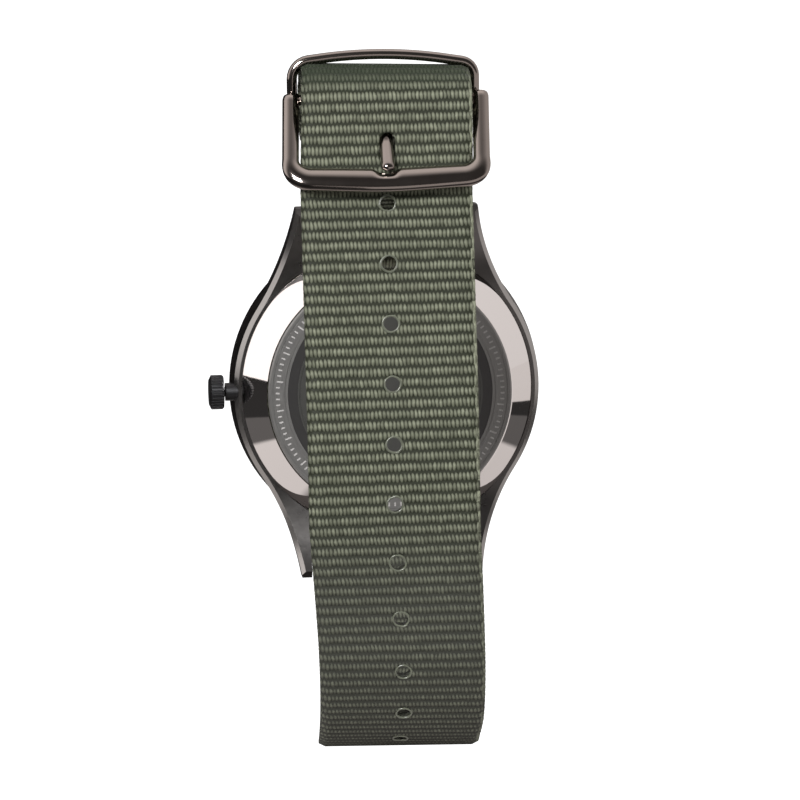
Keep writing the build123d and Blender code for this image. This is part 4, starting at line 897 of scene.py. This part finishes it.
def makeBuckleFrame():
    reach, far, over = buckle["armReach"], buckle["pitch"], buckle["overPin"]
    spots = [(-reach, -over), (-reach, far), (0, far + buckle["bow"]), (reach, far), (reach, -over)]
    radii = [0, buckle["corner"], buckle["bowRadius"], buckle["corner"], 0]
    route = roundRoute([frameSpot(*spot) for spot in spots], radii, buckle["step"])
    stations = []
    for point, forward in route:
        across, s, out = onFrame(point)
        onBar = eased(clamped((s - far + buckle["barBlend"]) / buckle["barBlend"]))
        middle = 1 - min(abs(across) / reach, 1) ** 2
        half = buckle["armHalf"] + (buckle["barHalf"] - buckle["armHalf"]) * onBar
        half += buckle["barSwell"] * middle
        end = rounded((s + over) / buckle["endRound"], buckle["endLeast"])
        half *= buckle["endWidth"] + (1 - buckle["endWidth"]) * end
        stations.append(stationAt(point, forward, frameOut, half, buckle["thick"] * end))
    piece = sweepStations("buckleFrame", stations, buckle["sections"], "buckle", "buckle_frame")
    for vertex in piece.data.vertices:
        across, s, out = onFrame(vertex.co / mm)
        inner = clamped((far + buckle["bow"] - s) / buckle["notchBlend"])
        dip = math.exp(-((across / buckle["notchHalf"]) ** 4)) * inner * buckle["notch"]
        if s > far - buckle["notchDeep"] and abs(across) < buckle["notchWide"]:
            lower = buckle["notchFront"] if out > 0 else buckle["notchBack"]
            vertex.co += (frameAlong * dip - frameOut * dip * lower) * mm
    size, far = buckle["pinRadius"], buckle["pinHalf"]
    ends = [stationAt(frameSpot(x, 0), sideWay, frameOut, size, size) for x in (-far, far)]
    sweepStations("bucklePin", ends, buckle["pinSections"], "buckle", "buckle_pin")


makeBuckleFrame()

# Buckle tongue: an eye on the pin and a round-backed bar through the last hole onto the frame
tongue = {
    "half": 0.8, "thick": 0.56, "reach": 10.0, "rise": 0.75, "hole": 29.5, "bend": 3.0, "aside": 0.1,
    "tipAside": 0.4, "tipRound": 0.7, "tipLeast": 0.02, "step": 0.25, "sections": 22,
    "eye": 0.9, "eyeWire": 0.22, "eyeSections": 16, "eyeSteps": 32,
}


def makeTongue():
    aside = sideWay * tongue["aside"]
    hole = fromLoop(Vector((halfWebbing, tongue["hole"]))) + wristAside + aside
    tip = framePin + frameAlong * tongue["reach"] + frameOut * tongue["rise"] + aside * tongue["tipAside"]
    start = framePin + aside + (hole - framePin - aside).normalized() * tongue["eye"]
    route = roundRoute([start, hole, tip], [0, tongue["bend"], 0], tongue["step"])
    left = sum((after[0] - before[0]).length for before, after in zip(route, route[1:]))
    stations, last = [], start
    for point, forward in route:
        left -= (point - last).length
        last = point
        face = forward.cross(sideWay).normalized()
        if face.dot(frameOut) < 0:
            face = -face
        end = rounded(left / tongue["tipRound"], tongue["tipLeast"])
        stations.append(stationAt(point, forward, face, tongue["half"] * end, tongue["thick"] * end))
    sweepStations("tongueBar", stations, tongue["sections"], "tongue", "buckle_tongue")
    mesh = bmesh.new()
    offset = Matrix.Translation(framePin + Vector((0, 0, tongue["eye"])))
    flat = Matrix.Diagonal((tongue["half"], 1, tongue["eyeWire"], 1))
    section = offset @ flat @ Matrix.Rotation(math.pi / 2, 4, "X")
    bmesh.ops.create_circle(mesh, segments=tongue["eyeSections"], radius=1, matrix=section)
    around = {"cent": framePin, "axis": sideWay, "angle": fullTurn, "steps": tongue["eyeSteps"]}
    bmesh.ops.spin(mesh, geom=mesh.edges[:], use_merge=True, **around)
    finishMetal(mesh, "tongueEye", "tongue")


makeTongue()

# Keeper ring: a bowed wire loop, its left shoulder the rounder one
keeper = {
    "turn": 80.0, "aside": 0.38, "wire": 0.61, "half": 10.72, "low": 1.0, "lowBow": 0.01, "top": 6.72,
    "leftDrop": 1.31, "rightDrop": 1.75, "radii": [200, 0.9, 1.7, 52, 2.2, 0.9], "step": 0.4, "sections": 20,
}


def makeKeeper():
    turn = math.radians(keeper["turn"])
    radial = -acrossWay * math.cos(turn) + upWay * math.sin(turn)
    origin = fromLoop(topCentre) + wristAside + sideWay * keeper["aside"]
    half, low, top = keeper["half"], keeper["low"], keeper["top"]
    right, left = top - keeper["rightDrop"], top - keeper["leftDrop"]
    spots = [(0, low + keeper["lowBow"]), (half, low), (half, right), (0, top), (-half, left), (-half, low)]
    corners = [origin + sideWay * x + radial * reach for x, reach in spots]
    route = roundRoute(corners, keeper["radii"], keeper["step"], closed=True)
    face = radial.cross(sideWay)
    wire = keeper["wire"]
    stations = [stationAt(point, forward, face, wire, wire) for point, forward in route]
    sweepStations("keeperRing", stations, keeper["sections"], "keeper", "keeper_ring", True)


makeKeeper()
print("buckle, tongue and keeper made")

# Stitches that close the three folds, seen from inside the loop and on the run outside
stitch = {
    "length": 1.3, "thick": 0.17, "sunk": 0.06, "facets": (8, 6),
    "rows": 2, "rowGap": 2.4, "across": 9, "reach": 8.2, "fromEnd": 1.6, "fromTail": 2.6,
}


def makeStitches(name, route, start):
    mesh = bmesh.new()
    sections, rings = stitch["facets"]
    for row in range(stitch["rows"]):
        for number in range(stitch["across"]):
            across = stitch["reach"] * (2 * number / (stitch["across"] - 1) - 1)
            middle = Vector((across, start + row * stitch["rowGap"], 0))
            for side in (-1, 1):
                made = bmesh.ops.create_uvsphere(mesh, u_segments=sections, v_segments=rings, radius=1)
                for vertex in made["verts"]:
                    flat = Vector((vertex.co.z * stitch["length"] / 2, vertex.co.x * stitch["thick"], 0))
                    flat.z = side * (halfWebbing - stitch["sunk"]) + vertex.co.y * stitch["thick"]
                    vertex.co = wrapPoint(route, middle + flat)
    finishPiece(mesh, name, stitchThread, "watch")


upperStart = routeLength(buckleSideRoute) - strap["tail"] + stitch["fromTail"]
makeStitches("lowerStitches", holeSideRoute, stitch["fromEnd"])
makeStitches("buckleStitches", buckleSideRoute, stitch["fromEnd"])
makeStitches("upperStitches", buckleSideRoute, upperStart)
print("stitches made")

# Dial print: hour figures, an inner ring of small figures and a minute track
dial = {
    "top": 6.9, "lift": 0.03, "ink": 0.02, "sizePerHeight": 1 / 0.72,
    "hourRadius": 10.55, "hourHeight": 2.9, "innerRadius": 7.35, "innerHeight": 1.15,
    "trackInner": 13.55, "trackOuter": 14.35, "tickHalf": 0.06,
}


def addFigure(mesh, words, radius, turnShare, tall):
    data = bpy.data.curves.new("figure", "FONT")
    data.body = words
    data.size = tall * dial["sizePerHeight"]
    data.align_x = "CENTER"
    data.align_y = "CENTER"
    data.extrude = dial["ink"]
    figure = bpy.data.objects.new("figure", data)
    shape = bpy.data.meshes.new_from_object(figure)
    angle = fullTurn * turnShare
    height = dial["top"] + dial["lift"]
    place = Vector((-radius * math.sin(angle), height, radius * math.cos(angle)))
    facing = Matrix(((-1, 0, 0, 0), (0, 0, 1, 0), (0, 1, 0, 0), (0, 0, 0, 1)))
    shape.transform(Matrix.Scale(mm, 4) @ Matrix.Translation(place) @ facing)
    mesh.from_mesh(shape)
    bpy.data.objects.remove(figure)
    bpy.data.curves.remove(data)
    bpy.data.meshes.remove(shape)


def makeDialPrint():
    mesh = bmesh.new()
    for hour in range(1, 13):
        turnShare = hour % 12 / 12
        addFigure(mesh, str(hour), dial["hourRadius"], turnShare, dial["hourHeight"])
        addFigure(mesh, str(hour + 12), dial["innerRadius"], hour / 12, dial["innerHeight"])
    finishPiece(mesh, "dialFigures", dialInk, "watch", smooth=False)
    mesh = bmesh.new()
    inner, outer, ink = dial["trackInner"], dial["trackOuter"], dial["ink"]
    size = Matrix.Diagonal((2 * dial["tickHalf"], 2 * ink, outer - inner, 1))
    outward = Matrix.Translation((0, dial["top"] + ink, (outer + inner) / 2))
    for minute in range(60):
        if minute % 5:
            made = bmesh.ops.create_cube(mesh, size=1)
            place = Matrix.Rotation(fullTurn * minute / 60, 4, "Y") @ outward @ size
            bmesh.ops.transform(mesh, matrix=Matrix.Scale(mm, 4) @ place, verts=made["verts"])
    finishPiece(mesh, "minuteTrack", dialInk, "watch", smooth=False)


makeDialPrint()
print("dial print made")

# Floor and backdrop: white to the camera; to other rays they glow as a light, with a painted shadow under the
# watch and painted rings of light and dark round it that the metal reflects
stage = {
    "floor": cadBox[0].z - 0.0004, "front": -3.0, "bend": 0.7, "radius": 0.5, "bendSteps": 16,
    "top": 1.8, "half": 2.6, "base": (0.005, 0.005, 0.005),
    "white": (1, 1, 1), "whiteness": 1.3, "glowTint": (1, 0.93, 0.9), "shine": 0.67, "blur": 0.006,
    # painted shadow under the watch, and painted grey and dark rings, seen only by rays that are not the
    # camera's
    "shadeEnd": 0.026, "greyStart": 0.072, "darkStart": 0.122, "darkEnd": 0.172,
    "shade": 0.12, "grey": 0.16, "dark": 0.03,
}


def makeStageFinish():
    plain = {"Base_Color": stage["base"], "Specular_IOR_Level": 0.0}
    material, tree, shader = startMaterial("backdropPaper", **plain)
    seen = addNode(tree, "ShaderNodeLightPath").outputs["Is Camera Ray"]
    place = objectPlace(tree)
    onFloor = vectorMaths(tree, "MULTIPLY", place, (1, 1, 0))
    distance = addNode(tree, "ShaderNodeVectorMath", {0: onFloor}, operation="LENGTH").outputs["Value"]
    onLeft = maths(tree, "LESS_THAN", axesOf(tree, place)["X"], 0.0)

    def ring(name, before, after):
        return smoothRamp(tree, distance, stage[name], stage[name] + stage["blur"], before, after)

    # painted shadow near the watch, then the painted grey and dark rings
    shade = ring("shadeEnd", stage["shade"], 1.0)
    near = times(tree, shade, ring("greyStart", 1.0, stage["grey"]))
    near = times(tree, near, ring("darkStart", 1.0, stage["dark"] / stage["grey"]))
    far = times(tree, ring("darkEnd", 0.0, 1.0), maths(tree, "SUBTRACT", 1.0, onLeft))
    glow = times(tree, maths(tree, "MAXIMUM", near, far), stage["shine"])
    strength = addNode(tree, "ShaderNodeMix", {0: seen, 2: glow, 3: stage["whiteness"]}).outputs[0]
    color = blendColor(tree, seen, stage["glowTint"], stage["white"])
    feed(tree, shader.inputs, {"Emission Strength": strength, "Emission Color": color})
    return material


def makeStage():
    mesh = bmesh.new()
    half, floor, bend = stage["half"], stage["floor"], stage["bend"]
    first = mesh.verts.new((-half, stage["front"], floor))
    corner = bmesh.ops.extrude_vert_indiv(mesh, verts=[first])["verts"][0]
    corner.co = (-half, bend, floor)
    around = {"cent": (-half, bend, floor + stage["radius"]), "axis": (1, 0, 0), "angle": math.pi / 2}
    curve = bmesh.ops.spin(mesh, geom=[corner], steps=stage["bendSteps"], **around)
    last = vertsOf(curve["geom_last"])[0]
    bmesh.ops.extrude_vert_indiv(mesh, verts=[last])["verts"][0].co.z = stage["top"]
    bmesh.ops.remove_doubles(mesh, verts=mesh.verts, dist=weld * mm)
    swept = bmesh.ops.extrude_edge_only(mesh, edges=mesh.edges)
    for vertex in vertsOf(swept["geom"]):
        vertex.co.x = half
    for face in mesh.faces:
        face.smooth = True
    makeObject(mesh, "backdrop", makeStageFinish())


makeStage()

lamps = {
    "keyLight": {"place": (-0.4, -0.85, 0.45), "size": (0.3, 0.3), "power": 16.0, "shines": True},
    "fillLight": {"place": (0.7, -0.7, 0.3), "size": (0.4, 0.6), "power": 5.0, "shines": False},
    "topLight": {"place": (0.0, -0.1, 1.1), "size": (0.8, 0.5), "power": 1.5, "shines": False},
    "dialLight": {"place": (0.35, 0.85, 0.5), "size": (0.5, 0.5), "power": 10.0, "shines": False},
}
aimPoint = Vector((0, -0.02, 0))


def makeLights():
    for name, lamp in lamps.items():
        data = bpy.data.lights.new(name, "AREA")
        data.shape = "RECTANGLE"
        data.size, data.size_y = lamp["size"]
        data.energy = lamp["power"]
        light = bpy.data.objects.new(name, data)
        aim = (aimPoint - Vector(lamp["place"])).to_track_quat("-Z", "Y")
        light.matrix_world = Matrix.Translation(lamp["place"]) @ aim.to_matrix().to_4x4()
        light.visible_glossy = lamp["shines"]
        light.visible_camera = False
        scene.collection.objects.link(light)


# Studio round the watch: brighter at the upper left, and dark where the camera stands
studio = {
    "tone": (1.0, 0.94, 0.915),
    "side": 0.72, "bright": 1.25, "front": 0.07,
    "upperLeft": (-0.66, 0.75), "brightRange": (0.05, 0.6), "frontRange": (-0.55, -0.02),
}


def makeStudio():
    world = bpy.data.worlds.new("studio")
    world.use_nodes = True
    tree = world.node_tree
    parts = axesOf(tree, addNode(tree, "ShaderNodeTexCoord").outputs["Generated"])
    aside = times(tree, parts["X"], studio["upperLeft"][0])
    height = times(tree, parts["Z"], studio["upperLeft"][1], aside)
    bright = smoothRamp(tree, height, *studio["brightRange"], studio["side"], studio["bright"])
    behind = smoothRamp(tree, parts["Y"], *studio["frontRange"])
    strength = addNode(tree, "ShaderNodeMix", {0: behind, 2: studio["front"], 3: bright}).outputs[0]
    feed(tree, tree.nodes["Background"].inputs, {"Color": studio["tone"], "Strength": strength})
    scene.world = world


makeLights()
makeStudio()
print("stage and lights made")
